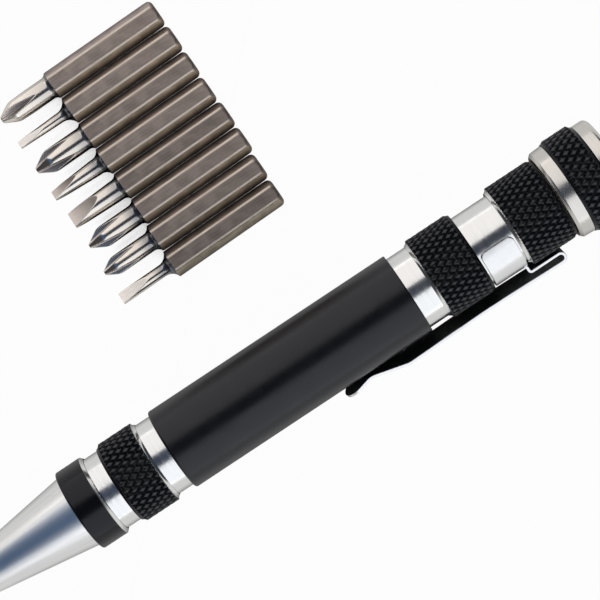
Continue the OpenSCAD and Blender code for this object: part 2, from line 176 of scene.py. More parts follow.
class Graph:
    """Adds nodes to a tree and links them."""

    def __init__(self, tree: bpy.types.NodeTree) -> None:
        """Starts on a tree with its nodes removed."""
        self.tree = tree
        tree.nodes.clear()

    def feed(self, node: bpy.types.Node, ins: Ins) -> None:
        """Gives a node its values and signals.

        Args:
            node: the node.
            ins: values or signals by input name or number.
        """
        for key, value in ins.items():
            if isinstance(value, Signal):
                self.tree.links.new(value.socket, node.inputs[key])
            else:
                node.inputs[key].default_value = value

    def add(self, kind: str, ins: Ins | None = None, **settings: Any) -> bpy.types.Node:
        """Adds one node.

        Args:
            kind: the node's type.
            ins: values or signals by input name or number.
            settings: properties of the node.

        Returns:
            The node.
        """
        node = self.tree.nodes.new(kind)
        for key, value in settings.items():
            setattr(node, key, value)
        self.feed(node, ins or {})
        return node

    def outs(self, kind: str, ins: Ins | None = None) -> dict[str, Signal]:
        """Adds one node and returns its outputs by name."""
        return {socket.name: Signal(self, socket) for socket in self.add(kind, ins).outputs}

    def get(self, kind: str, ins: Ins | None = None, output: int | str = 0, **settings: Any) -> Signal:
        """Adds one node, as add does, and returns one of its outputs."""
        return Signal(self, self.add(kind, ins, **settings).outputs[output])

    def math(self, operation: str, *values: Any, clamp: bool = False) -> Signal:
        """Adds a Math node and returns its result."""
        return self.get("ShaderNodeMath", dict(enumerate(values)), operation=operation, use_clamp=clamp)

    def span(self, value: Any, low: float, high: float, to_low: float = 0.0, to_high: float = 1.0) -> Signal:
        """Maps a value from one range to another, held at its ends, and returns the result."""
        ends = {"Value": value, "From Min": low, "From Max": high, "To Min": to_low, "To Max": to_high}
        return self.get("ShaderNodeMapRange", ends)

    def noise(self, vector: Any, scale: float, detail: float) -> Signal:
        """Adds a Noise texture and returns its value."""
        return self.get("ShaderNodeTexNoise", {"Vector": vector, "Scale": scale, "Detail": detail})

    def tint(self, share: Any, first: Any, second: Any) -> Signal:
        """Mixes two colours by a share and returns the result."""
        pair = [(*colour, 1.0) if isinstance(colour, tuple) else colour for colour in (first, second)]
        return self.get("ShaderNodeMix", {0: share, 6: pair[0], 7: pair[1]}, 2, data_type="RGBA")

    def kept(self, name: str) -> Signal:
        """Returns a vector that is kept on the piece's points."""
        return self.get("ShaderNodeAttribute", output="Vector", attribute_name=name)

    def place(self, coords: Coords) -> Signal:
        """Finds the place on the piece.

        Args:
            coords: where the place is read.

        Returns:
            The place in millimetres.
        """
        if coords is Coords.SPOT:
            return self.kept(SPOT)
        source = self.get("ShaderNodeTexCoord", output="Object")
        return self.get("ShaderNodeMapping", {"Vector": source, "Scale": (1 / MM,) * 3})

    def parts(self, vector: Any) -> tuple[Signal, ...]:
        """Returns the three numbers of a vector."""
        return tuple(self.outs("ShaderNodeSeparateXYZ", {0: vector}).values())

    def join(self, x: Any, y: Any, z: Any) -> Signal:
        """Returns a vector of three numbers."""
        return self.get("ShaderNodeCombineXYZ", {0: x, 1: y, 2: z})


# Finishes


class Look(NamedTuple):
    """What a finish gives its shader, with a bump's height, its depth in millimetres and its strength."""

    colour: Signal
    roughness: Signal
    height: Signal
    depth: float
    strength: float


@dataclass(frozen=True)
class Finish:
    """A finish: its name, the slot it belongs to and how its surface is made."""

    name: str
    slot: Slot
    colour: Colour
    roughness: float
    metallic: float = 1.0
    coords: Coords = Coords.SPOT

    def material(self) -> bpy.types.Material:
        """Makes the material of this finish, the first time it is asked for.

        Returns:
            The material.
        """
        made = bpy.data.materials.get(self.name)
        if made is None:
            made = bpy.data.materials.new(self.name)
            made.use_nodes = True
            made.diffuse_color = (*self.colour, 1.0)
            graph = Graph(made.node_tree)
            shader = graph.add("ShaderNodeBsdfPrincipled", {
                "Metallic": self.metallic, "Roughness": self.roughness})
            self.coat(graph, shader)
            look = self.look(graph)
            bump = graph.get("ShaderNodeBump", {
                "Strength": look.strength, "Distance": look.depth * MM, "Height": look.height})
            graph.feed(shader, {"Base Color": look.colour, "Roughness": look.roughness, "Normal": bump})
            graph.add("ShaderNodeOutputMaterial", {"Surface": Signal(graph, shader.outputs[0])})
        return made

    def coat(self, graph: Graph, shader: bpy.types.Node) -> None:
        """Gives the shader what a finish has beside its look."""

    def look(self, graph: Graph) -> Look:
        """Returns the look of the surface."""
        raise NotImplementedError

    def rough(self, graph: Graph, pattern: Signal, less: float, more: float) -> Signal:
        """Returns a roughness that follows a pattern."""
        return graph.span(pattern, *NOISE_MIDDLE, self.roughness - less, self.roughness + more)


@dataclass(frozen=True)
class Anodised(Finish):
    """Satin anodising: a fine blasted grain, faint cloudiness, and dust in a few places."""

    worn: Colour = (0.02, 0.02, 0.021)
    sheen: Colour = (0.92, 0.93, 1.0)
    gloss: float = 0.5
    grain_noise: Pair = (16.0, 2.0)
    grain_mm: float = 0.006
    grain_strength: float = 0.5
    grain_rough: float = 0.03
    cloud_noise: Pair = (0.35, 4.0)
    cloud_rough: Pair = (0.03, 0.04)
    dust_noise: Pair = (1.6, 6.0)
    dust_span: Range = (0.62, 0.78, 0.0, 0.6)

    def coat(self, graph: Graph, shader: bpy.types.Node) -> None:
        """Gives the shader its sheen and its gloss."""
        graph.feed(shader, {"Specular Tint": (*self.sheen, 1.0), GLOSS: self.gloss})

    def look(self, graph: Graph) -> Look:
        """Makes the look of the surface.

        Args:
            graph: the material's graph.

        Returns:
            The look.
        """
        place = graph.place(self.coords)
        grain, cloud = graph.noise(place, *self.grain_noise), graph.noise(place, *self.cloud_noise)
        dust = graph.span(graph.noise(place, *self.dust_noise), *self.dust_span)
        rough = self.rough(graph, cloud, *self.cloud_rough)
        rough = rough + graph.span(grain, *NOISE_MIDDLE, -self.grain_rough, self.grain_rough)
        tone = graph.tint(dust, self.colour, self.worn)
        return Look(tone, rough, grain, self.grain_mm, self.grain_strength)


@dataclass(frozen=True)
class Knurled(Anodised):
    """Satin anodising on a knurl, duller in the grooves than on the diamonds."""

    groove_gloss: float = 0.22
    groove_span: Pair = (0.03, 0.3)

    def coat(self, graph: Graph, shader: bpy.types.Node) -> None:
        """Gives the shader its sheen, and its gloss by depth.

        Args:
            graph: the material's graph.
            shader: the material's shader.
        """
        super().coat(graph, shader)
        deep = graph.parts(graph.kept(ZONES))[0]
        graph.feed(shader, {GLOSS: graph.span(deep, *self.groove_span, self.gloss, self.groove_gloss)})


class Grain(NamedTuple):
    """The pattern of a finish: its noise, its span in the colour, its swing in the roughness and its relief.

    The relief has its depth in millimetres and its strength. A smear has a stretch along the piece, its
    noise and its span in the roughness.
    """

    weave: Weave
    scale: float
    detail: float
    tone: Range
    swing: float
    depth: float
    strength: float
    smear: Range = ()


MOULDED = Grain(Weave.GRAIN, 5.0, 5.0, (0.35, 0.7, 0.0, 0.7), 0.05, 0.01, 0.4)
TURNED = Grain(Weave.RINGS, 7.0, 4.0, (0.35, 0.75, 0.0, 0.45), 0.04, 0.0012, 0.35,
               smear=(2.5, 0.5, 4.0, 0.35, 0.7, -0.02, 0.04))
DRAWN = Grain(Weave.STREAKS, 9.0, 4.0, (0.4, 0.7), 0.03, 0.001, 0.1)
BRUSHED = Grain(Weave.LINES, 6.0, 3.0, (0.4, 0.8, 0.0, 0.5), 0.03, 0.0015, 0.3,
                smear=(1.0, 0.6, 3.0, 0.45, 0.7, 0.0, 0.06))


@dataclass(frozen=True)
class Grained(Finish):
    """A moulded surface with an even grain, or metal with smears and the marks of its making."""

    shade: Colour = (0.6, 0.6, 0.61)
    grain: Grain = MOULDED
    line_stretch: float = 0.06
    streak_stretch: float = 0.01

    def look(self, graph: Graph) -> Look:
        """Makes the look of the surface.

        Args:
            graph: the material's graph.

        Returns:
            The look.
        """
        grain = self.grain
        x, y, z = graph.parts(graph.place(self.coords))
        pattern = graph.noise(self.way(graph, x, y, z), grain.scale, grain.detail)
        rough = self.rough(graph, pattern, grain.swing, grain.swing)
        if grain.smear:
            stretch, scale, detail, *ends = grain.smear
            rough = rough + graph.span(graph.noise(graph.join(x, y, z * stretch), scale, detail), *ends)
        tone = graph.tint(graph.span(pattern, *grain.tone), self.colour, self.shade)
        return Look(tone, rough, pattern, grain.depth, grain.strength)

    def way(self, graph: Graph, x: Signal, y: Signal, z: Signal) -> Signal:
        """Finds the place in the pattern, by what it follows.

        Args:
            graph: the material's graph.
            x: the place across.
            y: the place sideways.
            z: the place along.

        Returns:
            The place in the pattern.
        """
        weave = self.grain.weave
        if weave is Weave.RINGS:
            return graph.join(graph.math("SQRT", x * x + y * y), 0.0, z)
        if weave is Weave.STREAKS:
            turn = graph.math("ARCTAN2", y, x)
            return graph.join(graph.math("SINE", turn), graph.math("COSINE", turn), z * self.streak_stretch)
        return graph.join(x, y, z * self.line_stretch if weave is Weave.LINES else z)


@dataclass(frozen=True)
class BitSteel(Finish):
    """Plated tool steel: a polished point with ground flats and a satin hex, with painted light and shade on
    the hollow shoulder, ground faces, shank root, hex flanks and the valleys between bits.
    """

    tip: Colour = (0.88, 0.82, 0.74)
    # Painted reflection on the ground faces: light at the point, dark towards the shank.
    ground: Colour = (0.2, 0.17, 0.16)
    ground_end: Colour = (0.76, 0.67, 0.62)
    # Painted shade on the hollow shoulder and on the shank below it.
    hollow: Colour = (0.17, 0.18, 0.2)
    # Painted light: the hex's side flanks, warm-lit on one side and cooler on the other.
    warm_flank: Colour = (1.0, 0.87, 0.66)
    flank: Colour = (0.66, 0.55, 0.51)
    # Painted shade on the shank near the shoulder.
    root: Colour = (0.3, 0.28, 0.28)
    # Dark colour for wear and grime, and for painted shade in the valleys between the bits.
    soot: Colour = (0.07, 0.058, 0.052)
    corner: Colour = (0.74, 0.66, 0.57)
    hexed_z: Range = (8.9, 9.1)
    flank_y: Range = (1.1, 1.35)
    warm_y: Range = (-1.1, -1.35)
    valley_x: Range = (0.0, 1.5, 0.78, 0.0)
    crown_z: Range = (27.4, 27.75, 0.0, 0.75)
    ground_z: Range = (0.3, 4.2)
    root_z: Range = (4.2, 8.2, 0.0, 0.4)
    line_stretch: float = 0.05
    line_noise: Pair = (5.0, 4.0)
    line_wear: Range = (0.35, 0.7, 0.0, 0.22)
    cloud_noise: Pair = (0.45, 4.0)
    cloud_wear: Range = (0.4, 0.62, 0.0, 0.22)
    corner_wear: Range = (0.3, 0.6, 0.5, 1.0)
    grime_share: float = 0.6
    tip_rough: float = 0.2
    ground_rough: float = 0.25
    line_rough: float = 0.05
    point_relief: float = 0.15
    relief_mm: float = 0.004
    relief_strength: float = 0.45

    def look(self, graph: Graph) -> Look:
        """Makes the look of the surface.

        Args:
            graph: the material's graph.

        Returns:
            The look.
        """
        place = graph.place(self.coords)
        x, y, z = graph.parts(place)
        lines = graph.noise(graph.join(x, y, z * self.line_stretch), *self.line_noise)
        cloud = graph.noise(place, *self.cloud_noise)
        edge, ground, hollow = graph.parts(graph.kept(ZONES))
        hexed = graph.span(z, *self.hexed_z)
        # Painted light on the side flanks: warm on one side of the hex, cooler on the other.
        flat = graph.tint(graph.span(y, *self.flank_y), self.colour, self.flank)
        flat = graph.tint(graph.span(y, *self.warm_y), flat, self.warm_flank)
        worn = graph.span(lines, *self.line_wear) + graph.span(cloud, *self.cloud_wear)
        # Painted shade in the valleys where neighbouring bits meet, and darker towards the crown.
        valley_shade_and_dark_crown = graph.math("MAXIMUM", graph.span(abs(x), *self.valley_x), graph.span(z, *self.crown_z))
        body = graph.tint(worn + ground * self.grime_share, flat, self.soot)
        body = graph.tint(edge * graph.span(cloud, *self.corner_wear), body, self.corner)
        body = graph.tint(valley_shade_and_dark_crown, body, self.soot)
        # Painted reflection on the ground faces, graded from light at the point to dark at the shank.
        face = graph.tint(graph.span(z, *self.ground_z), self.ground_end, self.ground)
        # Painted shade: the polished tip colour darkens towards the shank's root.
        tip_and_root_shade = graph.tint(graph.span(z, *self.root_z), self.tip, self.root)
        # Painted shade of the hollow shoulder laid over the point's colour.
        point = graph.tint(hollow, graph.tint(ground, tip_and_root_shade, face), self.hollow)
        smooth = graph.math("MULTIPLY_ADD", ground, self.ground_rough, self.tip_rough)
        rough = graph.math("MAXIMUM", smooth, hexed * self.roughness)
        rough = rough + graph.span(lines, *NOISE_MIDDLE, -self.line_rough, self.line_rough)
        relief = lines * graph.span(hexed, 0.0, 1.0, self.point_relief, 1.0)
        return Look(graph.tint(hexed, point, body), rough, relief, self.relief_mm, self.relief_strength)


BLACK = Anodised("black_anodised_satin", Slot.BLACK, (0.0055, 0.0055, 0.0062), 0.3, 0.0)
BAND_BLACK = Anodised("black_anodised_band", Slot.BLACK, (0.0055, 0.0055, 0.0062), 0.2, 0.0, gloss=0.34)
KNURL_BLACK = Knurled("black_anodised_knurl", Slot.BLACK, (0.0075, 0.0075, 0.0085), 0.26, 0.0,
                      sheen=(0.88, 0.9, 1.0), gloss=0.62, grain_mm=0.002)
BRIGHT = Grained("bright_turned_aluminium", Slot.BRIGHT, (0.9, 0.9, 0.89), 0.2,
                 shade=(0.82, 0.82, 0.82), grain=TURNED)
SATIN = Grained("satin_aluminium", Slot.BRIGHT, (0.91, 0.91, 0.9), 0.3, shade=(0.84, 0.84, 0.84), grain=DRAWN)
CAP_BRIGHT = Grained("cap_turned_aluminium", Slot.BRIGHT, (0.75, 0.725, 0.685), 0.24,
                     shade=(0.68, 0.655, 0.62), grain=TURNED)
CUT_EDGE = Grained("bright_cut_edge", Slot.BRIGHT, (0.92, 0.92, 0.91), 0.12,
                   shade=(0.84, 0.84, 0.83), grain=TURNED)
SPRING = Grained("polished_spring_steel", Slot.SPRING, (0.93, 0.93, 0.93), 0.3,
                 shade=(0.84, 0.84, 0.85), grain=BRUSHED)
TOOL = BitSteel("plated_tool_steel", Slot.TOOL, (0.66, 0.545, 0.47), 0.5)
PLATED = Grained("zinc_plated_steel", Slot.PLATED, (0.55, 0.55, 0.54), 0.25,
                 coords=Coords.OBJECT, grain=BRUSHED)
MAGNET = Grained("nickel_magnet", Slot.MAGNET, (0.42, 0.4, 0.37), 0.3, 0.9, Coords.OBJECT, (0.5, 0.48, 0.44))
NYLON = Grained("ivory_nylon", Slot.NYLON, (0.72, 0.69, 0.6), 0.45, 0.0, Coords.OBJECT, (0.66, 0.63, 0.54))


# Meshes


@dataclass
class Shape:
    """A mesh in millimetres in its own frame, with a mark for each face and zones for each point."""

    points: Array
    faces: list[tuple[int, ...]]
    marks: list[int] | None = None
    zones: Array | None = None

    def __add__(self, other: "Shape") -> "Shape":
        """Joins two shapes that have no marks and no zones.

        Args:
            other: the second shape.

        Returns:
            Both as one.
        """
        step = len(self.points)
        moved = [tuple(i + step for i in face) for face in other.faces]
        return Shape(np.vstack([self.points, other.points]), [*self.faces, *moved])


def rounded(corners: Sequence[Corner], steps: int = 5, closed: bool = True) -> list[Point]:
    """Rounds the corners of a path.

    Args:
        corners: both places and the radius of each corner.
        steps: pieces of each round.
        closed: whether the path's last corner joins its first.

    Returns:
        The rounded path. A corner on the axis stays sharp.
    """
    spots = [np.array(corner[:2], float) for corner in corners]
    count = len(spots)
    path: list[Point] = []
    for i, spot in enumerate(spots):
        radius = corners[i][2]
        back, ahead = spots[i - 1] - spot, spots[(i + 1) % count] - spot
        reach = min(np.linalg.norm(back), np.linalg.norm(ahead))
        back, ahead = back / np.linalg.norm(back), ahead / np.linalg.norm(ahead)
        half = math.acos(float(np.clip(back @ ahead, -1, 1))) / 2
        open_end = not closed and i in (0, count - 1)
        if open_end or radius <= 0 or abs(spot[0]) < TINY or half > math.pi / 2 - STRAIGHT:
            path.append(tuple(spot))
            continue
        if closed:
            radius = min(radius, ROUND_SHARE * reach * math.tan(half))
        way = back + ahead
        middle = spot + way / np.linalg.norm(way) * radius / math.sin(half)
        start = spot + back * radius / math.tan(half) - middle
        final = spot + ahead * radius / math.tan(half) - middle
        for k in range(steps + 1):
            spoke = start + (final - start) * k / steps
            path.append(tuple(middle + radius * spoke / np.linalg.norm(spoke)))
    return path


def braced(profile: Sequence[Point], margin: float = 0.15) -> list[Point]:
    """Adds a point near both ends of each long side, so that rounds keep to their corners.

    Args:
        profile: the points of a closed profile.
        margin: how far from the ends the new points are.

    Returns:
        The profile with its new points.
    """
    path: list[Point] = []
    for i, start in enumerate(profile):
        path.append(start)
        final = profile[(i + 1) % len(profile)]
        length = math.dist(start, final)
        if length > 4 * margin:
            for share in (margin / length, 1 - margin / length):
                path.append(tuple(low + (high - low) * share for low, high in zip(start, final)))
    return path


def lathe(profile: Sequence[Point], segments: int, ridge: Ridge | None) -> Shape:
    """Turns a closed profile of radius and height about the z axis.

    Args:
        profile: the profile's points.
        segments: steps round the axis.
        ridge: gives the radius round the axis from angles, radius and height.

    Returns:
        The turned shape.
    """
    angles = np.linspace(0, FULL_TURN, segments, endpoint=False)
    points: list[Array] = []
    rings: list[list[int]] = []
    size = 0
    for radius, height in braced(profile):
        if abs(radius) < TINY:
            points.append(np.array([[0.0, 0.0, height]]))
            rings.append([size] * segments)
            size += 1
            continue
        out = np.full(segments, radius) if ridge is None else ridge(angles, radius, height)
        heights = np.full(segments, height)
        points.append(np.column_stack([out * np.cos(angles), out * np.sin(angles), heights]))
        rings.append(list(range(size, size + segments)))
        size += segments
    faces: list[tuple[int, ...]] = []
    for ring, following in zip(rings, [*rings[1:], rings[0]]):
        if ring[0] == ring[1] and following[0] == following[1]:
            continue
        for k in range(segments):
            turn = (k + 1) % segments
            faces.append(tuple(dict.fromkeys((ring[k], ring[turn], following[turn], following[k]))))
    return Shape(np.vstack(points), faces)


def loft(loops: Array) -> Shape:
    """Joins closed loops of equal length into a skin with both ends capped.

    Args:
        loops: an array of loops by points by three.

    Returns:
        The closed shape.
    """
    rows, count, _ = loops.shape
    faces = [
        (i * count + k, i * count + (k + 1) % count, (i + 1) * count + (k + 1) % count, (i + 1) * count + k)
        for i in range(rows - 1)
        for k in range(count)
    ]
    middles = np.array([loops[0].mean(axis=0), loops[-1].mean(axis=0)])
    last = (rows - 1) * count
    for k in range(count):
        faces.append((rows * count, (k + 1) % count, k))
        faces.append((rows * count + 1, last + k, last + (k + 1) % count))
    return Shape(np.vstack([loops.reshape(-1, 3), middles]), faces)


def section(width: float, thickness: float, corner: float, steps: int = 4) -> Array:
    """Rounds the section of a flat bar.

    Args:
        width: its width.
        thickness: its thickness.
        corner: the radius of its corners.
        steps: pieces of each corner.

    Returns:
        The section's loop, as places across and through.
    """
    corner = min(corner, CORNER_SHARE * width, CORNER_SHARE * thickness)
    side, rise = width / 2 - corner, thickness / 2 - corner
    inner = side - min(BRACE, BRACE_SHARE * width)
    loop = []
    for turn, (right, up) in enumerate(((1, 1), (-1, 1), (-1, -1), (1, -1))):
        for angle in (math.pi / 2 * (turn + step / steps) for step in range(steps + 1)):
            loop.append((right * side + corner * math.cos(angle), up * rise + corner * math.sin(angle)))
        if turn % 2 == 0:
            loop += [(right * inner, up * thickness / 2), (-right * inner, up * thickness / 2)]
    return np.array(loop)


def soft_min(first: Array, second: Any, soft: float) -> Array:
    """Returns the lesser of two values, rounded over where they meet."""
    share = np.clip(0.5 + 0.5 * (second - first) / soft, 0, 1)
    return second * (1 - share) + first * share - soft * share * (1 - share)


def rolled(degrees: float) -> Array:
    """Returns what turns rows of points about the z axis."""
    cos, sin = math.cos(math.radians(degrees)), math.sin(math.radians(degrees))
    return np.array([[cos, sin, 0], [-sin, cos, 0], [0, 0, 1]])


def new_object(name: str, data: bpy.types.ID) -> bpy.types.Object:
    """Makes an object and puts it in the scene.

    Args:
        name: the object's name.
        data: its mesh, lamp or camera.

    Returns:
        The object.
    """
    made = bpy.data.objects.new(name, data)
    bpy.context.scene.collection.objects.link(made)
    return made


def make_piece(
    name: str, shape: Shape, placing: Placing, finishes: Sequence[Finish], nodes: Sequence[str],
    body: str | None, sharp: float = 35.0,
) -> bpy.types.Object:
    """Makes an object of a shape, gives it its finishes and puts it on its body.

    Args:
        name: the piece's name.
        shape: its mesh in millimetres.
        placing: puts its points in the row's frame, in metres.
        finishes: its finishes, in the order of the shape's marks.
        nodes: the CAD nodes that it stands for.
        body: the body that it rides on, or None to leave it on no body.
        sharp: the angle in degrees from which an edge is sharp.

    Returns:
        The object.
    """
    mesh = bpy.data.meshes.new(name)
    mesh.from_pydata(placing(shape.points).tolist(), [], shape.faces)
    for key, values in ((SPOT, shape.points), (ZONES, shape.zones)):
        if values is not None:
            kept = mesh.attributes.new(key, "FLOAT_VECTOR", "POINT")
            kept.data.foreach_set("vector", values.astype(np.float32).ravel())
    for finish in finishes:
        mesh.materials.append(finish.material())
    if shape.marks:
        mesh.polygons.foreach_set("material_index", shape.marks)
    work = bmesh.new()
    work.from_mesh(mesh)
    bmesh.ops.remove_doubles(work, verts=work.verts, dist=MERGE)
    bmesh.ops.recalc_face_normals(work, faces=work.faces)
    work.to_mesh(mesh)
    work.free()
    mesh.polygons.foreach_set("use_smooth", [True] * len(mesh.polygons))
    mesh.set_sharp_from_angle(angle=math.radians(sharp))
    piece = new_object(name, mesh)
    if body is not None:
        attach(piece, body)
    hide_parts(*nodes)
    LOG.info("%s: %d faces for %s", name, len(mesh.polygons), ", ".join(nodes))
    return piece


def dress_node(frame: dict[str, Any], node: str, finish: Finish) -> None:
    """Gives a CAD node that is shown as it is its finish.

    Args:
        frame: the loaded frame.
        node: the node's name.
        finish: its finish.
    """
    slots = frame["nodes"][node].data.materials
    slots.clear()
    slots.append(finish.material())
    LOG.info("%s: dressed in %s", node, finish.name)


# The driver


@dataclass(frozen=True)
class Lay:
    """How the driver lies: its own z runs from nose tip to cap, x points down and y sideways."""

    tip: Array
    along: Array

    @classmethod
    def of(cls, frame: dict[str, Any]) -> "Lay":
        """Reads the nose tip and the axis from the record's socket mount."""
        mount = next(each for each in frame["record"]["mounts"] if each["name"] == "bit_socket")
        return cls(np.array(mount["pos_m"], float), -np.array(mount["axis"], float))

    def __call__(self, points: Array) -> Array:
        """Puts points of the driver in the row's frame.

        Args:
            points: the points in millimetres.

        Returns:
            The points in metres.
        """
        side = np.array([0.0, 1.0, 0.0])
        down = np.cross(side, self.along)
        return self.tip + MM * (np.asarray(points) @ np.stack([down, side, self.along]))


@dataclass
class Knurl:
    """The diamond knurl of the four black rings, as one Geometry Nodes tree."""

    count: int = 36
    pitch: float = 2.0
    depth: float = 0.27
    chamfer: float = 0.55
    flat: float = 0.8
    blend: float = 0.06
    merge: float = 0.0005
    bare_share: float = 0.6
    whole_turns: float = 100.0
    columns_per_diamond: int = 14
    row_mm: float = 0.083
    tree: bpy.types.NodeTree | None = None
    sockets: dict[str, str] = field(default_factory=dict)

    def build_tree(self, inputs: dict[str, Any]) -> None:
        """Builds the tree: a grid wrapped into a ring, whose skin is cut by two crossing sets of grooves.

        Args:
            inputs: a value for each of its inputs, which gives the input's kind.
        """
        kinds = {int: "Int", float: "Float", bpy.types.Material: "Material"}
        self.tree = bpy.data.node_groups.new("knurled_ring", "GeometryNodeTree")
        face = self.tree.interface
        for side in ("INPUT", "OUTPUT"):
            face.new_socket("Geometry", in_out=side, socket_type="NodeSocketGeometry")
        for name, value in inputs.items():
            socket = face.new_socket(name, in_out="INPUT", socket_type=f"NodeSocket{kinds[type(value)]}")
            self.sockets[name] = socket.identifier
        graph = Graph(self.tree)
        given = graph.outs("NodeGroupInput")
        rows, length, crest_r = given["Rows"], given["Length"], given["Crest Radius"]
        rows_all = rows + 3
        chain = graph.get("GeometryNodeMeshGrid", {
            "Size X": 1.0, "Size Y": 1.0, "Vertices X": given["Columns"] + 1, "Vertices Y": rows_all + 1,
        }, "Mesh")
        x, y, _ = graph.parts(graph.get("GeometryNodeInputPosition"))
        turn, row = x + 0.5, (y + 0.5) * rows_all
        height = length * ((row < rows + 1.5) * graph.math("DIVIDE", row, rows, clamp=True))
        bored = (row > rows + 0.5) * (row < rows + 2.5)
        around, up = turn * given["Count"], height / given["Pitch"]
        crests, cones, brights = [], [], []
        for way in (around + up, around - up):
            off = abs(graph.math("FRACT", way + self.whole_turns) * 2.0 - 1.0)
            fall = 1.0 - graph.math("DIVIDE", 1.0 - off, given["Flat"], clamp=True)
            crests.append(1.0 - fall ** 2.0)
        skin = crest_r - given["Depth"] * (1.0 - graph.math("SMOOTH_MIN", *crests, self.blend))
        for end, reach in (("Front", height), ("Rear", length - height)):
            away = 1.0 - reach / given["Chamfer"]
            cones.append(crest_r - given[f"{end} Cut"] * graph.math("MAXIMUM", away, 0.0) ** 0.5)
            brights.append((cones[-1] < skin) * (away > 0.0) * given[f"{end} Bright"])
        outer = graph.math("MINIMUM", skin, graph.math("MINIMUM", *cones))
        radius = outer * (1.0 - bored) + given["Bore Radius"] * bored
        angle = turn * FULL_TURN
        spot = graph.join(radius * graph.math("COSINE", angle), radius * graph.math("SINE", angle), height)
        is_cut = graph.math("MAXIMUM", *brights) * (1.0 - bored)
        chosen = graph.get("GeometryNodeInputNamedAttribute", {"Name": CUT}, data_type="FLOAT")
        chosen = chosen > self.bare_share
        chain = graph.get("GeometryNodeStoreNamedAttribute", {
            "Geometry": chain, "Name": CUT, "Value": is_cut}, data_type="FLOAT", domain="POINT")
        for kind, ins in (
            ("SetPosition", {"Position": spot}), ("MergeByDistance", {"Distance": self.merge}),
            ("RealizeInstances", {}), ("SetMaterial", {"Material": given["Skin"]}),
            ("SetMaterial", {"Selection": chosen, "Material": given["Cut"]}),
        ):
            chain = graph.get(f"GeometryNode{kind}", {"Geometry": chain, **ins})
        graph.add("NodeGroupOutput", {"Geometry": chain})

    def ring(
        self, name: str, crest: float, bore: float, low: float, length: float, cuts: Pair, bright: Pair
    ) -> Shape:
        """Makes one ring through the tree.

        Args:
            name: the name of the ring.
            crest: radius over the diamonds.
            bore: radius of its bore.
            low: height of its front.
            length: its length.
            cuts: how far its front and rear edges are cut down.
            bright: whether these cuts are bare metal, as 0.0 or 1.0.

        Returns:
            The ring, its bare cuts marked 1, with its depth as first zone.
        """
        values = {
            "Columns": self.count * self.columns_per_diamond, "Rows": round(length / self.row_mm),
            "Count": self.count, "Crest Radius": crest, "Bore Radius": bore, "Length": length,
            "Pitch": self.pitch, "Depth": self.depth, "Flat": self.flat, "Chamfer": self.chamfer,
            "Front Cut": cuts[0], "Rear Cut": cuts[1], "Front Bright": bright[0], "Rear Bright": bright[1],
            "Skin": KNURL_BLACK.material(), "Cut": CUT_EDGE.material(),
        }
        if self.tree is None:
            self.build_tree(values)
        base = bpy.data.meshes.new(f"{name}_base")
        maker = new_object(f"{name}_maker", base)
        work = maker.modifiers.new("knurl", "NODES")
        work.node_group = self.tree
        for key, value in values.items():
            work[self.sockets[key]] = value
        made = bpy.data.meshes.new_from_object(maker.evaluated_get(bpy.context.evaluated_depsgraph_get()))
        maker.modifiers.remove(work)
        points = np.empty(3 * len(made.vertices))
        made.vertices.foreach_get("co", points)
        points = points.reshape(-1, 3)
        bare = [i for i, skin in enumerate(made.materials) if skin and skin.name == CUT_EDGE.name]
        marks = [int(face.material_index in bare) for face in made.polygons]
        deep = np.clip((crest - np.hypot(points[:, 0], points[:, 1])) / self.depth, 0, 1)
        faces = [tuple(face.vertices) for face in made.polygons]
        shape = Shape(points + [0, 0, low], faces, marks, np.outer(deep, [1.0, 0.0, 0.0]))
        bpy.data.objects.remove(maker)
        for mesh in (base, made):
            bpy.data.meshes.remove(mesh)
        return shape


@dataclass
class Turnings:
    """Pieces that are turned about the driver's axis and ride on one body."""

    lay: Lay
    knurl: Knurl
    neck_r: float = 5.9
    spigot_r: float = 5.65
    grip_r: float = 6.6
    press: float = 0.02
    rides_on: ClassVar[str] = ""

    def turn(
        self, name: str, node: str, finishes: Sequence[Finish], corners: Sequence[Corner], steps: int = 5,
        segments: int = 160, ridge: Ridge | None = None, bare: Callable[[float, float], bool] | None = None,
    ) -> None:
        """Turns one piece.

        Args:
            name: the piece's name.
            node: the CAD node that it stands for.
            finishes: its finish, and the second one of its bare places.
            corners: radius, height and round of its profile's corners.
            steps: pieces of each round.
            segments: steps round the axis.
            ridge: gives the radius round the axis from angles, radius and height.
            bare: tells from radius and height which places are bare.
        """
        shape = lathe(rounded(corners, steps), segments, ridge)
        if bare is not None:
            radii, heights = np.hypot(shape.points[:, 0], shape.points[:, 1]), shape.points[:, 2]
            spots = [list(face) for face in shape.faces]
            shape.marks = [int(bare(radii[spot].mean(), heights[spot].mean())) for spot in spots]
        make_piece(name, shape, self.lay, finishes, [node], self.rides_on)

    def grip(self, node: str, seat: float, low: float, length: float, cuts: Pair, bright: Pair) -> None:
        """Makes the knurled ring of a node, pressed on its seat. The rest is as in Knurl.ring."""
        ring = self.knurl.ring(node, self.grip_r, seat + self.press, low, length, cuts, bright)
        make_piece(f"{node}_knurled", ring, self.lay, (KNURL_BLACK, CUT_EDGE), [node], self.rides_on)


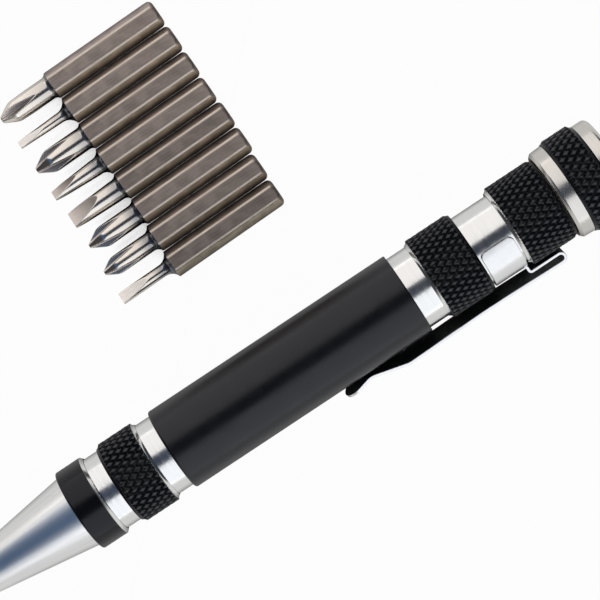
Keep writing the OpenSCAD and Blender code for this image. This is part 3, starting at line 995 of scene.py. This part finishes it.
@dataclass
class Handle(Turnings):
    """Nose, band, front grip, socket, magnet and barrel."""

    tip_r: float = 3.248
    base_r: float = 5.75
    bore_r: float = 2.768
    nose_l: float = 17.5
    sleeve_l: float = 13.55
    store_r: float = 5.25
    store_z: float = 20.5
    spigot_end: float = 39.6
    band_l: float = 4.6
    grip_z: float = 24.5
    grip_l: float = 6.6
    grip_cuts: Pair = (0.5, 0.6)
    barrel_z: float = 33.6
    barrel_l: float = 41.2
    barrel_r: float = 6.5
    bits_r: float = 5.35
    seat_r: float = 5.7
    seat_l: float = 6.3
    edge: float = 0.6
    cut: float = 0.45
    rides_on: ClassVar[str] = "handle"

    def build(self, frame: dict[str, Any]) -> None:
        """Builds the handle's pieces and dresses its hidden ones.

        Args:
            frame: the loaded frame.
        """
        self.nose()
        self.band()
        self.grip("front_grip", self.neck_r, self.grip_z, self.grip_l, self.grip_cuts, (0.0, 1.0))
        self.barrel()
        dress_node(frame, "bit_socket", PLATED)
        dress_node(frame, "socket_magnet", MAGNET)

    def nose(self) -> None:
        """Turns the nose: cone, both necks, the spigot in the barrel and the bores."""
        self.turn("nose_turned", "nose_cone", (BRIGHT, SATIN), [
            (self.bore_r, 0, 0.12), (self.tip_r, 0, 0.25), (self.base_r, self.nose_l, 0.05),
            (self.neck_r, self.nose_l, 0), (self.neck_r, self.barrel_z, 0),
            (self.spigot_r, self.barrel_z, 0.05), (self.spigot_r, self.spigot_end, 0.3),
            (self.store_r, self.spigot_end, 0.1), (self.store_r, self.store_z, 0.2),
            (0, self.store_z, 0), (0, self.sleeve_l, 0), (self.bore_r, self.sleeve_l, 0),
        ], bare=lambda radius, height: height < self.nose_l)

    def band(self) -> None:
        """Turns the plain band, with its rear edge cut bare."""
        low, high = self.nose_l, self.nose_l + self.band_l
        inner, cut_z, cut_r = self.neck_r + self.press, high - self.cut, self.barrel_r - self.cut
        self.turn("front_band_ring", "front_band", (BAND_BLACK, CUT_EDGE), [
            (inner, low, 0), (self.barrel_r, low, 0.5), (self.barrel_r, cut_z, 0.05), (cut_r, high, 0.04),
            (inner, high, 0.02),
        ], 7, bare=lambda radius, height: height > cut_z and radius > cut_r)

    def barrel(self) -> None:
        """Turns the barrel with its bore and its two seats."""
        low, high = self.barrel_z, self.barrel_z + self.barrel_l
        front, rear = low + self.seat_l, high - self.seat_l
        self.turn("barrel_tube", "barrel", (BLACK,), [
            (self.seat_r, low, 0.1), (self.barrel_r, low, self.edge), (self.barrel_r, high, 0.14),
            (self.seat_r, high, 0.1), (self.seat_r, rear, 0), (self.bits_r, rear, 0.1),
            (self.bits_r, front, 0.1), (self.seat_r, front, 0),
        ], 7, 192)


@dataclass
class Tail(Turnings):
    """Tail body with its thread, two grips, and the washers and screw of the swivel."""

    start_z: float = 68.8
    neck_z: float = 74.8
    grip_z: float = 78.0
    grip_l: float = 7.8
    grip_cuts: Pair = (0.6, 0.3)
    groove_z: float = 85.8
    groove_r: float = 5.65
    rear_z: float = 91.8
    rear_l: float = 8.2
    end_z: float = 100.0
    bore_r: float = 5.25
    bore_end: float = 78.8
    post_r: float = 2.6
    post_end: float = 102.55
    hole_r: float = 1.27
    hole_end: float = 92.55
    lead: float = 1.0
    lead_in: float = 0.28
    thread_depth: float = 0.22
    thread_row: float = 0.08
    thread_fade: float = 0.4
    thread_rest: float = 0.7
    thread_floor: float = 1.35
    thread_flank: float = 1.7
    thread_ends: Pair = (0.3, 0.1)
    rides_on: ClassVar[str] = "tail"

    def build(self, frame: dict[str, Any]) -> None:
        """Builds the tail's pieces and dresses its hidden ones.

        Args:
            frame: the loaded frame.
        """
        self.body()
        for node, seat, low, length in (
            ("rear_grip", self.neck_r, self.grip_z, self.grip_l),
            ("tail_grip", self.groove_r, self.rear_z, self.rear_l),
        ):
            self.grip(node, seat, low, length, self.grip_cuts, (1.0, 0.0))
        for node, finish in (("thrust_washer", NYLON), ("pivot_screw", PLATED), ("swivel_washer", PLATED)):
            dress_node(frame, node, finish)

    def thread(self, angles: Array, radius: float, height: float) -> Array:
        """Cuts the thread of the spigot.

        Args:
            angles: the steps round the axis.
            radius: the radius before the cut.
            height: the height on the axis.

        Returns:
            The radius at each angle.
        """
        run = np.full_like(angles, radius)
        if radius < self.spigot_r - TINY or not self.start_z < height < self.neck_z:
            return run
        part = (height / self.lead - angles / FULL_TURN) % 1.0
        groove = np.clip(self.thread_floor - np.abs(2 * part - 1) * self.thread_flank, 0, 1)
        ends = (height - self.start_z, max(0.0, self.neck_z - self.thread_rest - height))
        return run - self.thread_depth * groove * min(1.0, *(end / self.thread_fade for end in ends))

    def body(self) -> None:
        """Turns the tail body: threaded spigot, neck, clip groove, post and bores."""
        first, last = self.thread_ends
        rows = np.arange(self.start_z + first, self.neck_z - last, self.thread_row)
        self.turn("tail_turned", "tail_body", (BRIGHT,), [
            (self.bore_r, self.start_z, 0.05), (self.spigot_r - self.lead_in, self.start_z, 0.05),
            *[(self.spigot_r, float(z), 0) for z in rows],
            (self.spigot_r, self.neck_z, 0), (self.neck_r, self.neck_z, 0.06),
            (self.neck_r, self.groove_z, 0), (self.groove_r, self.groove_z, 0),
            (self.groove_r, self.end_z, 0.1), (self.post_r, self.end_z, 0.05),
            (self.post_r, self.post_end, 0.1), (self.hole_r, self.post_end, 0.05),
            (self.hole_r, self.hole_end, 0), (0, self.hole_end, 0),
            (0, self.bore_end, 0), (self.bore_r, self.bore_end, 0.1),
        ], ridge=self.thread)


@dataclass
class SwivelCap(Turnings):
    """The cap that stays in the palm while the driver turns under it."""

    grip_r: float = 7.7
    skirt_z: float = 100.15
    skirt_r: float = 7.2
    flare: float = 0.1
    cut: float = 0.45
    grip_z: float = 102.45
    grip_l: float = 5.2
    grip_cuts: Pair = (0.3, 0.6)
    seat_r: float = 6.8
    pocket_r: float = 5.2
    recess_end: float = 100.55
    web_end: float = 102.5
    hole_r: float = 2.65
    end_z: float = 107.65
    end_l: float = 2.4
    end_r: float = 7.1
    end_round: float = 0.8
    plug_r: float = 5.18
    plug_l: float = 1.8
    rides_on: ClassVar[str] = "swivel_cap"

    def build(self) -> None:
        """Builds the cap's three pieces."""
        self.turn("cap_shell_turned", "cap_shell", (CAP_BRIGHT,), [
            (self.pocket_r, self.skirt_z, 0.05), (self.skirt_r - self.cut, self.skirt_z, 0.12),
            (self.skirt_r, self.skirt_z + self.cut, 0.25), (self.skirt_r + self.flare, self.grip_z, 0.08),
            (self.seat_r, self.grip_z, 0), (self.seat_r, self.end_z, 0.05), (self.pocket_r, self.end_z, 0.05),
            (self.pocket_r, self.web_end, 0), (self.hole_r, self.web_end, 0.05),
            (self.hole_r, self.recess_end, 0.05), (self.pocket_r, self.recess_end, 0),
        ])
        self.grip("cap_grip", self.seat_r, self.grip_z, self.grip_l, self.grip_cuts, (0.0, 0.0))
        plug_z, top = self.end_z - self.plug_l, self.end_z + self.end_l
        self.turn("end_disc_turned", "end_disc", (CAP_BRIGHT,), [
            (0, plug_z, 0), (self.plug_r, plug_z, 0.2), (self.plug_r, self.end_z, 0),
            (self.end_r, self.end_z, 0.05), (self.end_r, top, self.end_round), (0, top, 0),
        ], 8)


@dataclass
class PocketClip:
    """The spring clip: a collar round its groove, a tab, a tight bend and the springing arm."""

    lay: Lay
    drop: float = 22.0
    thick: float = 0.45
    width: float = 4.8
    wrap: float = 204.0
    collar_r: float = 5.75
    collar_z: float = 86.1
    collar_l: float = 5.4
    collar_corner: float = 0.8
    edge: float = 0.08
    lap: float = 1.6
    tab_z: float = 91.275
    tab_rounds: Pair = (0.33, 0.36)
    leg_r: float = 6.925
    arm_r: float = 8.375
    bend_z: float = 96.15
    bow: Corner = (8.125, 82.8, 60.0)
    belly: Corner = (8.425, 69.45, 3.0)
    touch: Corner = (6.825, 63.55, 2.5)
    lip: Corner = (8.125, 59.15, 0.0)
    lip_end: float = 0.15
    row_mm: float = 0.8
    slant: float = 0.06
    still_f: float = 1.70
    moved_f: float = 2.35
    past_tab: float = 0.2
    tab_steps: int = 6
    bend_steps: int = 29
    bow_steps: int = 14
    lip_steps: int = 6
    collar_steps: int = 70
    corner_steps: int = 8

    @property
    def middle(self) -> float:
        """Returns the radius of the collar's middle line."""
        return self.collar_r + self.thick / 2

    def turned(self, points: Array) -> Array:
        """Turns points from the clip's own frame, x outwards, round to its side of the driver."""
        return np.asarray(points) @ rolled(self.drop - 90)

    def path(self) -> Array:
        """Draws the middle line of the strip, from the tab to the lip.

        Returns:
            Its points, as radius and place along the driver.
        """
        rise = rounded([
            (self.middle, self.collar_z + self.collar_l - self.lap, 0),
            (self.middle, self.tab_z, self.tab_rounds[0]), (self.leg_r, self.tab_z, self.tab_rounds[1]),
            (self.leg_r, self.bend_z, 0),
        ], self.tab_steps, False)
        bend_r = (self.arm_r - self.leg_r) / 2
        turns = np.radians(np.linspace(180, 0, self.bend_steps)[1:])
        bend = np.column_stack([
            self.leg_r + bend_r + bend_r * np.cos(turns), self.bend_z + bend_r * np.sin(turns)])
        top = (self.arm_r, self.bend_z - self.thick, 0)
        run = rounded([top, self.bow, self.belly, self.touch, self.lip], self.bow_steps, False)
        line = np.array([*rise, *bend, *run])
        dense = [line[0]]
        for start, final in zip(line[:-1], line[1:]):
            pieces = max(1, math.ceil(float(np.linalg.norm(final - start)) / self.row_mm))
            dense += [start + (final - start) * k / pieces for k in range(1, pieces + 1)]
        tail = dense[-1] - dense[-2]
        ends = [dense[-2] + tail * share for share in np.linspace(0.5, 1.0, self.lip_steps)]
        return np.array(dense[:-1] + ends)

    def strip(self) -> Shape:
        """Lofts the strip, hollow at the collar, flat at the leg and round at the lip.

        Returns:
            The strip in the clip's own frame.
        """
        line = self.path()
        way = np.gradient(line, axis=0)
        way /= np.linalg.norm(way, axis=1)[:, None]
        steps = np.r_[0, np.cumsum(np.linalg.norm(np.diff(line, axis=0), axis=1))]
        half = self.width / 2
        from_leg = np.abs(line[:, 0] - self.leg_r)
        before_leg = line[:, 1] < self.tab_z + self.past_tab
        hollow_end = steps[int(np.argmin(np.where(before_leg, np.inf, from_leg)))]
        loops = []
        for spot, (out, along), run, rest in zip(line, way, steps, steps[-1] - steps):
            inset = max(0.0, half - rest)
            wide = 2 * max(self.lip_end, math.sqrt(max(0.0, half * half - inset * inset)))
            flat = min(1.0, run / hollow_end)
            across, through = section(wide, self.thick, self.edge).T
            bowl = self.collar_r - np.sqrt(self.collar_r**2 - across**2)
            skin = spot + np.outer(through, [along, -out]) - np.outer(bowl * (1 - flat), [1.0, 0.0])
            loops.append(np.column_stack([skin[:, 0], across, skin[:, 1]]))
        return loft(np.array(loops))

    def collar(self) -> Shape:
        """Lofts the collar round its groove, with rounded corners at its two ends.

        Returns:
            The collar in the clip's own frame.
        """
        end = math.radians(self.wrap / 2)
        soft = self.collar_corner / self.middle
        lead = end - soft * (1 - np.sin(np.linspace(math.pi / 2, 0, self.corner_steps)))
        inner = np.linspace(-(end - soft), end - soft, self.collar_steps)[1:-1]
        loops = []
        for angle in np.r_[-lead, inner, lead[::-1]]:
            inset = max(0.0, self.collar_corner - (end - abs(angle)) * self.middle)
            drop = self.collar_corner - math.sqrt(max(0.0, self.collar_corner**2 - inset**2))
            across, through = section(self.collar_l - 2 * drop, self.thick, self.edge).T
            out = self.middle + through
            loops.append(np.column_stack([
                out * math.cos(angle), out * math.sin(angle), self.collar_z + self.collar_l / 2 + across]))
        return loft(np.array(loops))

    def build(self) -> None:
        """Builds the clip as one piece in the row's frame, on no body."""
        shape = self.collar() + self.strip()
        shape.points = self.turned(shape.points)
        nodes = ["clip_collar", "clip_arm"]
        piece = make_piece("pocket_clip_spring", shape, self.lay, (SPRING,), nodes, None)
        start = np.array([self.still_f + self.slant * self.bend_z, 0.0, self.bend_z])
        reach = (self.moved_f - self.still_f) / (1.0 + self.slant**2)
        final = start + reach * np.array([1.0, 0.0, -self.slant])
        ends = self.lay(self.turned(np.array([start, final])))
        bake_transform(piece)


# The bits


@dataclass
class Bit:
    """One hex bit, made as a skin of radius over angle and length."""

    name: str
    place: int
    tip: Tip
    shank: float
    end: float
    blade: float = 0.0
    shift: float = 0.0
    # Share of the ground faces' roughness and of their painted reflection.
    roll: float = 0.0
    dull: float = 0.9
    grime: float = 0.0
    # Painted shade reaching from the hollow shoulder towards the point, and its length.
    stain: float = 0.7
    stain_l: float = 1.6
    across: float = 4.0
    corner_d: float = 4.42
    length: float = 28.0
    hex_l: float = 19.0
    shoulder_l: float = 0.3
    shoulder_gain: float = 1.1
    shank_root: float = 0.5
    crown: float = 0.8
    root: float = 0.1
    half_point: float = 30.0
    flute: float = 0.78
    flute_floor: float = 0.12
    taper: float = 0.9
    ramp: float = 1.45
    hex_soft: float = 0.05
    shoulder_soft: float = 0.04
    tail_soft: float = 0.03
    point_soft: float = 0.35
    flute_soft: float = 0.1
    cut_soft: float = 0.04
    ground_rise: float = 0.06
    edge_from: float = 0.78
    edge_rise: float = 0.12
    scoop_from: float = 0.04
    scoop_rise: float = 0.2
    scoop_over: float = 0.3
    tip_l: float = 0.5
    hex_lead: float = 0.6
    tail_lead: float = 0.9
    crown_lead: float = 0.12
    rows: tuple[int, ...] = (9, 90, 26, 16)
    spokes: int = 240

    @property
    def hex_z(self) -> float:
        """Returns where the hex starts."""
        return self.length - self.hex_l

    @property
    def shoulder(self) -> float:
        """Returns the length of the hollow shoulder."""
        return self.shoulder_l + self.shoulder_gain * (self.corner_d - self.shank) / 2

    @property
    def foot(self) -> float:
        """Returns where the hollow shoulder starts."""
        return self.hex_z - self.shoulder

    def heights(self) -> Array:
        """Spaces the skin's rows, close together where the shape changes.

        Returns:
            The places of the rows.
        """
        stops = (0, self.tip_l, self.hex_z + self.hex_lead, self.length - self.tail_lead)
        runs = [np.linspace(*ends) for ends in zip(stops, stops[1:], self.rows)]
        crown = self.crown * np.sin(np.linspace(-self.crown_lead, math.pi / 2, self.rows[-1]))
        return np.unique(np.round(np.concatenate([*runs, self.length - self.crown + crown]), 5))

    def body(self, off: Array, z: Array) -> Array:
        """Shapes hex, hollow shoulder and rounded tail.

        Args:
            off: the angle from the middle of the nearest flat.
            z: the place along the bit.

        Returns:
            The radius.
        """
        corner = self.corner_d / 2
        out = soft_min(self.across / 2 / np.cos(off), corner, self.hex_soft)
        rise = corner - self.shank / 2
        hollow = (rise**2 + self.shoulder**2) / (2 * rise)
        up = np.clip(z - self.foot, 0, self.shoulder)
        scoop = self.shank / 2 + hollow - np.sqrt(np.maximum(hollow**2 - up**2, 0))
        scoop = np.where(z < self.foot, 0.0, np.where(z > self.hex_z, BEYOND, scoop))
        past = np.clip(z - (self.length - self.crown), 0, self.crown)
        tail = corner - self.crown + np.sqrt(np.maximum(self.crown**2 - past**2, 0))
        out = soft_min(out, scoop, self.shoulder_soft)
        return soft_min(out, np.where(past > 0, tail, BEYOND), self.tail_soft)

    def point(self, turn: Array, z: Array) -> tuple[Array, Array]:
        """Shapes the shank with its crosshead or its blade.

        Args:
            turn: the angle round the bit.
            z: the place along the bit.

        Returns:
            The radius, and where it is ground.
        """
        turn = turn - math.radians(self.roll)
        run = self.foot + self.shank_root
        if self.tip is Tip.CROSS:
            slope = math.tan(math.radians(self.half_point))
            out = soft_min(np.full_like(z, self.shank / 2), self.end / 2 + z * slope, self.point_soft)
            root = self.shank * self.root
            apex = root + z * (self.shank / 2 - root) / (run * self.flute)
            off = np.abs((turn % (math.pi / 2)) - math.pi / 4)
            walls = apex * math.sin(math.pi / 4) / np.maximum(np.sin(math.pi / 4 - off), SLIM)
            cut = -soft_min(-walls, -(apex + self.flute_floor) / np.cos(off), self.flute_soft)
        else:
            out = self.end / 2 + (self.shank - self.end) / 2 * np.clip(z / (run * self.taper), 0, 1)
            half = self.blade / 2 + (self.shank - self.blade / 2) * z / (run * self.ramp)
            cut = half / np.maximum(np.abs(np.cos(turn)), SLIM)
        ground = np.clip((out - cut) / self.ground_rise, 0, 1) * self.dull
        return np.where(z <= run, soft_min(out, cut, self.cut_soft), 0.0), ground

    def shape(self) -> Shape:
        """Makes the bit's skin, upright with its point at zero.

        Returns:
            The skin, with its edges, its ground faces and its hollow as zones; the hollow zone also holds
            painted shade below the shoulder.
        """
        angles = np.linspace(0, FULL_TURN, self.spokes, endpoint=False)
        z, turn = np.meshgrid(self.heights(), angles, indexing="ij")
        off = (turn + SIXTH / 2) % SIXTH - SIXTH / 2
        body = self.body(off, z)
        point, ground = self.point(turn, z)
        radius = np.maximum(body, point)
        made = loft(np.stack([radius * np.cos(turn), radius * np.sin(turn), z], axis=-1))
        hexed = z > self.hex_z
        edge = np.clip((np.abs(off) / (SIXTH / 2) - self.edge_from) / self.edge_rise, 0, 1) * hexed
        # Painted shade on the shank, from the shoulder's foot towards the point, joined to the hollow
        # shoulder's painted shade.
        shade = self.stain * np.clip((z - self.foot) / self.stain_l + 1, 0, 1)
        scoop = np.clip((body - self.shank / 2 - self.scoop_from) / self.scoop_rise, 0, 1)
        hollow = np.maximum(scoop, shade) * (z < self.hex_z + self.scoop_over)
        ground = np.where(point >= body, ground, self.grime * hexed)
        zones = np.stack([edge, ground, hollow], axis=-1).reshape(-1, 3)
        made.zones = np.vstack([zones, [0, self.dull, 0], [0, 0, 0]])
        return made


@dataclass
class BitRow:
    """The eight bits that lie beside the driver."""

    middle: Point = (-0.0015, 0.0146)
    turn: float = 1.3
    pitch: float = 4.52
    sharp: float = 40.0
    bits: list[Bit] = field(default_factory=lambda: [
        Bit("cross_bit_1", 0, Tip.CROSS, 3.5, 1.0, roll=42, stain=0.0),
        Bit("slot_bit_1", 1, Tip.SLOT, 1.6, 1.2, 0.35, 0.05, -12, dull=0.1, stain=0.3),
        Bit("cross_bit_2", 2, Tip.CROSS, 3.6, 0.9, grime=0.1, stain=0.35),
        Bit("slot_bit_2", 3, Tip.SLOT, 2.6, 1.7, 0.45, -0.1, -40),
        Bit("slot_bit_3", 4, Tip.SLOT, 3.3, 2.7, 0.55, 0.05, -32, grime=0.25, stain=0.5),
        Bit("cross_bit_3", 5, Tip.CROSS, 3.3, 0.6, roll=3, dull=0.6, grime=0.05),
        Bit("cross_bit_4", 6, Tip.CROSS, 2.9, 0.7, shift=-0.4, roll=5, dull=0.6, grime=0.15),
        Bit("slot_bit_4", 7, Tip.SLOT, 1.9, 1.9, 0.4, -0.55, -20, dull=0.3, grime=0.35),
    ])

    def placing(self, bit: Bit) -> Placing:
        """Finds a bit's place in the row.

        Args:
            bit: the bit, upright with its point at zero.

        Returns:
            What lays its points there.
        """
        def lay(points: Array) -> Array:
            """Lays points of the bit on the table.

            Args:
                points: the points in millimetres.

            Returns:
                The points in the row's frame, in metres.
            """
            flat = np.column_stack([points[:, 2], points[:, 1], -points[:, 0]])
            place = (len(self.bits) - 1) / 2 - bit.place
            flat = flat + [bit.shift - bit.length / 2, place * self.pitch, 0]
            return (flat @ rolled(self.turn) + [0, 0, bit.across / 2]) * MM + [*self.middle, 0]

        return lay

    def build(self) -> None:
        """Builds the eight bits."""
        for bit in self.bits:
            name, placing = f"{bit.name}_steel", self.placing(bit)
            make_piece(name, bit.shape(), placing, (TOOL,), [bit.name], bit.name, self.sharp)


# The studio


@dataclass
class Studio:
    """Pale floor, two soft boxes, a dim ceiling and the camera straight above."""

    lay: Lay
    foot_along: float = 0.06117
    foot_side: float = 0.00788
    height: float = 0.3701
    lens: float = 149.9
    sensor: float = 36.0
    tilt: float = -33.52
    box_middle: float = 55.0
    box_reach: float = 0.45
    warm: Colour = (1.0, 0.965, 0.93)
    cool: Colour = (0.955, 0.975, 1.0)
    warm_box: Range = (52.0, 0.48, 0.7, 0.8)
    cool_box: Range = (54.5, 0.5, 0.645, 0.83)
    horizon: Colour = (0.6, 0.6, 0.6)
    horizon_up: Range = (0.02, 0.16)
    ceiling: Colour = (0.036, 0.042, 0.054)
    front_ceiling: Colour = (0.036, 0.046, 0.078)
    front_x: Range = (-0.03, -0.11)
    far_x: Range = (-0.27, -0.36)
    far_card: Colour = (0.8, 0.79, 0.77)
    far_left: Range = (0.62, 0.78)
    far_right: Range = (-0.4, -0.95)
    far_blue: Colour = (0.05, 0.115, 0.23)
    far_dark: Colour = (0.05, 0.05, 0.055)
    dark_x: Range = (-0.5, -0.62)
    floor_colour: Colour = (0.86, 0.86, 0.86)
    floor_half: float = 4.0
    floor_z: float = -2e-5
    floor_air: float = 0.012
    air_samples: int = 8
    eye_share: float = 0.97
    eye_air: Range = (0.05, 0.2)
    glossy_air: Range = (0.42, 1.0, 0.0, 0.68)

    def build(self) -> None:
        """Builds floor, lights, world and camera."""
        self.floor()
        self.lights()
        self.world()
        self.camera()

    def floor(self) -> None:
        """Lays the floor, white to the eye and pale to the light, with the object's shadow on it."""
        mesh = bpy.data.meshes.new("studio_floor")
        sides = [self.floor_half * np.array(corner) for corner in ((-1, -1), (1, -1), (1, 1), (-1, 1))]
        mesh.from_pydata([(*side, self.floor_z) for side in sides], [], [(0, 1, 2, 3)])
        floor = new_object("studio_floor", mesh)
        paint = bpy.data.materials.new("studio_paper")
        paint.use_nodes = True
        graph = Graph(paint.node_tree)
        path = graph.outs("ShaderNodeLightPath")
        glossy = path["Is Glossy Ray"]
        eye = graph.math("ADD", path["Is Camera Ray"], path["Is Transmission Ray"], clamp=True)
        share = graph.math("ADD", eye * self.eye_share, glossy, clamp=True)
        air = graph.get(
            "ShaderNodeAmbientOcclusion", {"Distance": self.floor_air}, "AO", samples=self.air_samples)
        # The white glow is dimmed by ambient occlusion near the pieces: a painted shadow, seen by the camera
        # and in reflections.
        glow = eye * graph.span(air, *self.eye_air) + glossy * graph.span(air, *self.glossy_air)
        paper = graph.get("ShaderNodeBsdfDiffuse", {"Color": (*self.floor_colour, 1.0)})
        white = graph.get("ShaderNodeEmission", {"Color": (1.0, 1.0, 1.0, 1.0), "Strength": glow})
        mixed = graph.get("ShaderNodeMixShader", {0: share, 1: paper, 2: white})
        graph.add("ShaderNodeOutputMaterial", {"Surface": mixed})
        mesh.materials.append(paint)

    def lights(self) -> None:
        """Hangs a warm soft box on the bits' side and a cool one on the clip's side."""
        middle = self.lay(np.array([[0.0, 0.0, self.box_middle]]))[0]
        for name, side, colour, (angle, long, high, power) in (
            ("soft_box_warm", 1, self.warm, self.warm_box), ("soft_box_cool", -1, self.cool, self.cool_box),
        ):
            lean = math.radians(angle)
            lamp = bpy.data.lights.new(name, "AREA")
            lamp.shape = "ELLIPSE"
            lamp.size, lamp.size_y = long, high
            lamp.color = colour
            lamp.energy = power
            box = new_object(name, lamp)
            box.location = middle + self.box_reach * np.array([0.0, side * math.sin(lean), math.cos(lean)])
            box.rotation_euler = (-side * lean, 0.0, 0.0)
            box.visible_camera = False

    def world(self) -> None:
        """Makes a room that is pale at the horizon and dim overhead, with a blue opening past the nose."""
        world = bpy.data.worlds.new("studio_room")
        bpy.context.scene.world = world
        world.use_nodes = True
        graph = Graph(world.node_tree)
        x, y, up = graph.parts(graph.get("ShaderNodeTexCoord", output="Generated"))
        ceiling = graph.tint(graph.span(x, *self.front_x), self.ceiling, self.front_ceiling)
        room = graph.tint(graph.span(up, *self.horizon_up), self.horizon, ceiling)
        sides = graph.math("MAXIMUM", graph.span(y, *self.far_left), graph.span(y, *self.far_right))
        deep = graph.tint(graph.span(x, *self.dark_x), self.far_blue, self.far_dark)
        past = graph.tint(sides, deep, self.far_card)
        tone = graph.tint(graph.span(x, *self.far_x), room, past)
        graph.add("ShaderNodeOutputWorld", {"Surface": graph.get("ShaderNodeBackground", {"Color": tone})})

    def camera(self) -> None:
        """Sets the camera above the table, looking straight down."""
        data = bpy.data.cameras.new("studio_camera")
        data.lens = self.lens
        data.sensor_width = self.sensor
        camera = new_object("studio_camera", data)
        camera.location = (self.lay.tip[0] + self.foot_along, self.lay.tip[1] + self.foot_side, self.height)
        camera.rotation_euler = (0.0, 0.0, math.radians(self.tilt))
        bpy.context.scene.camera = camera


def main() -> None:
    """Loads the frame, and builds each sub-assembly and the studio."""
    logging.basicConfig(level=logging.INFO, format="%(name)s %(message)s")
    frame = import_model()
    bpy.context.scene.view_settings.view_transform = "Standard"
    lay = Lay.of(frame)
    knurl = Knurl()
    Handle(lay, knurl).build(frame)
    Tail(lay, knurl).build(frame)
    SwivelCap(lay, knurl).build()
    PocketClip(lay).build()
    BitRow().build()
    Studio(lay).build()


if __name__ == "__main__":
    main()
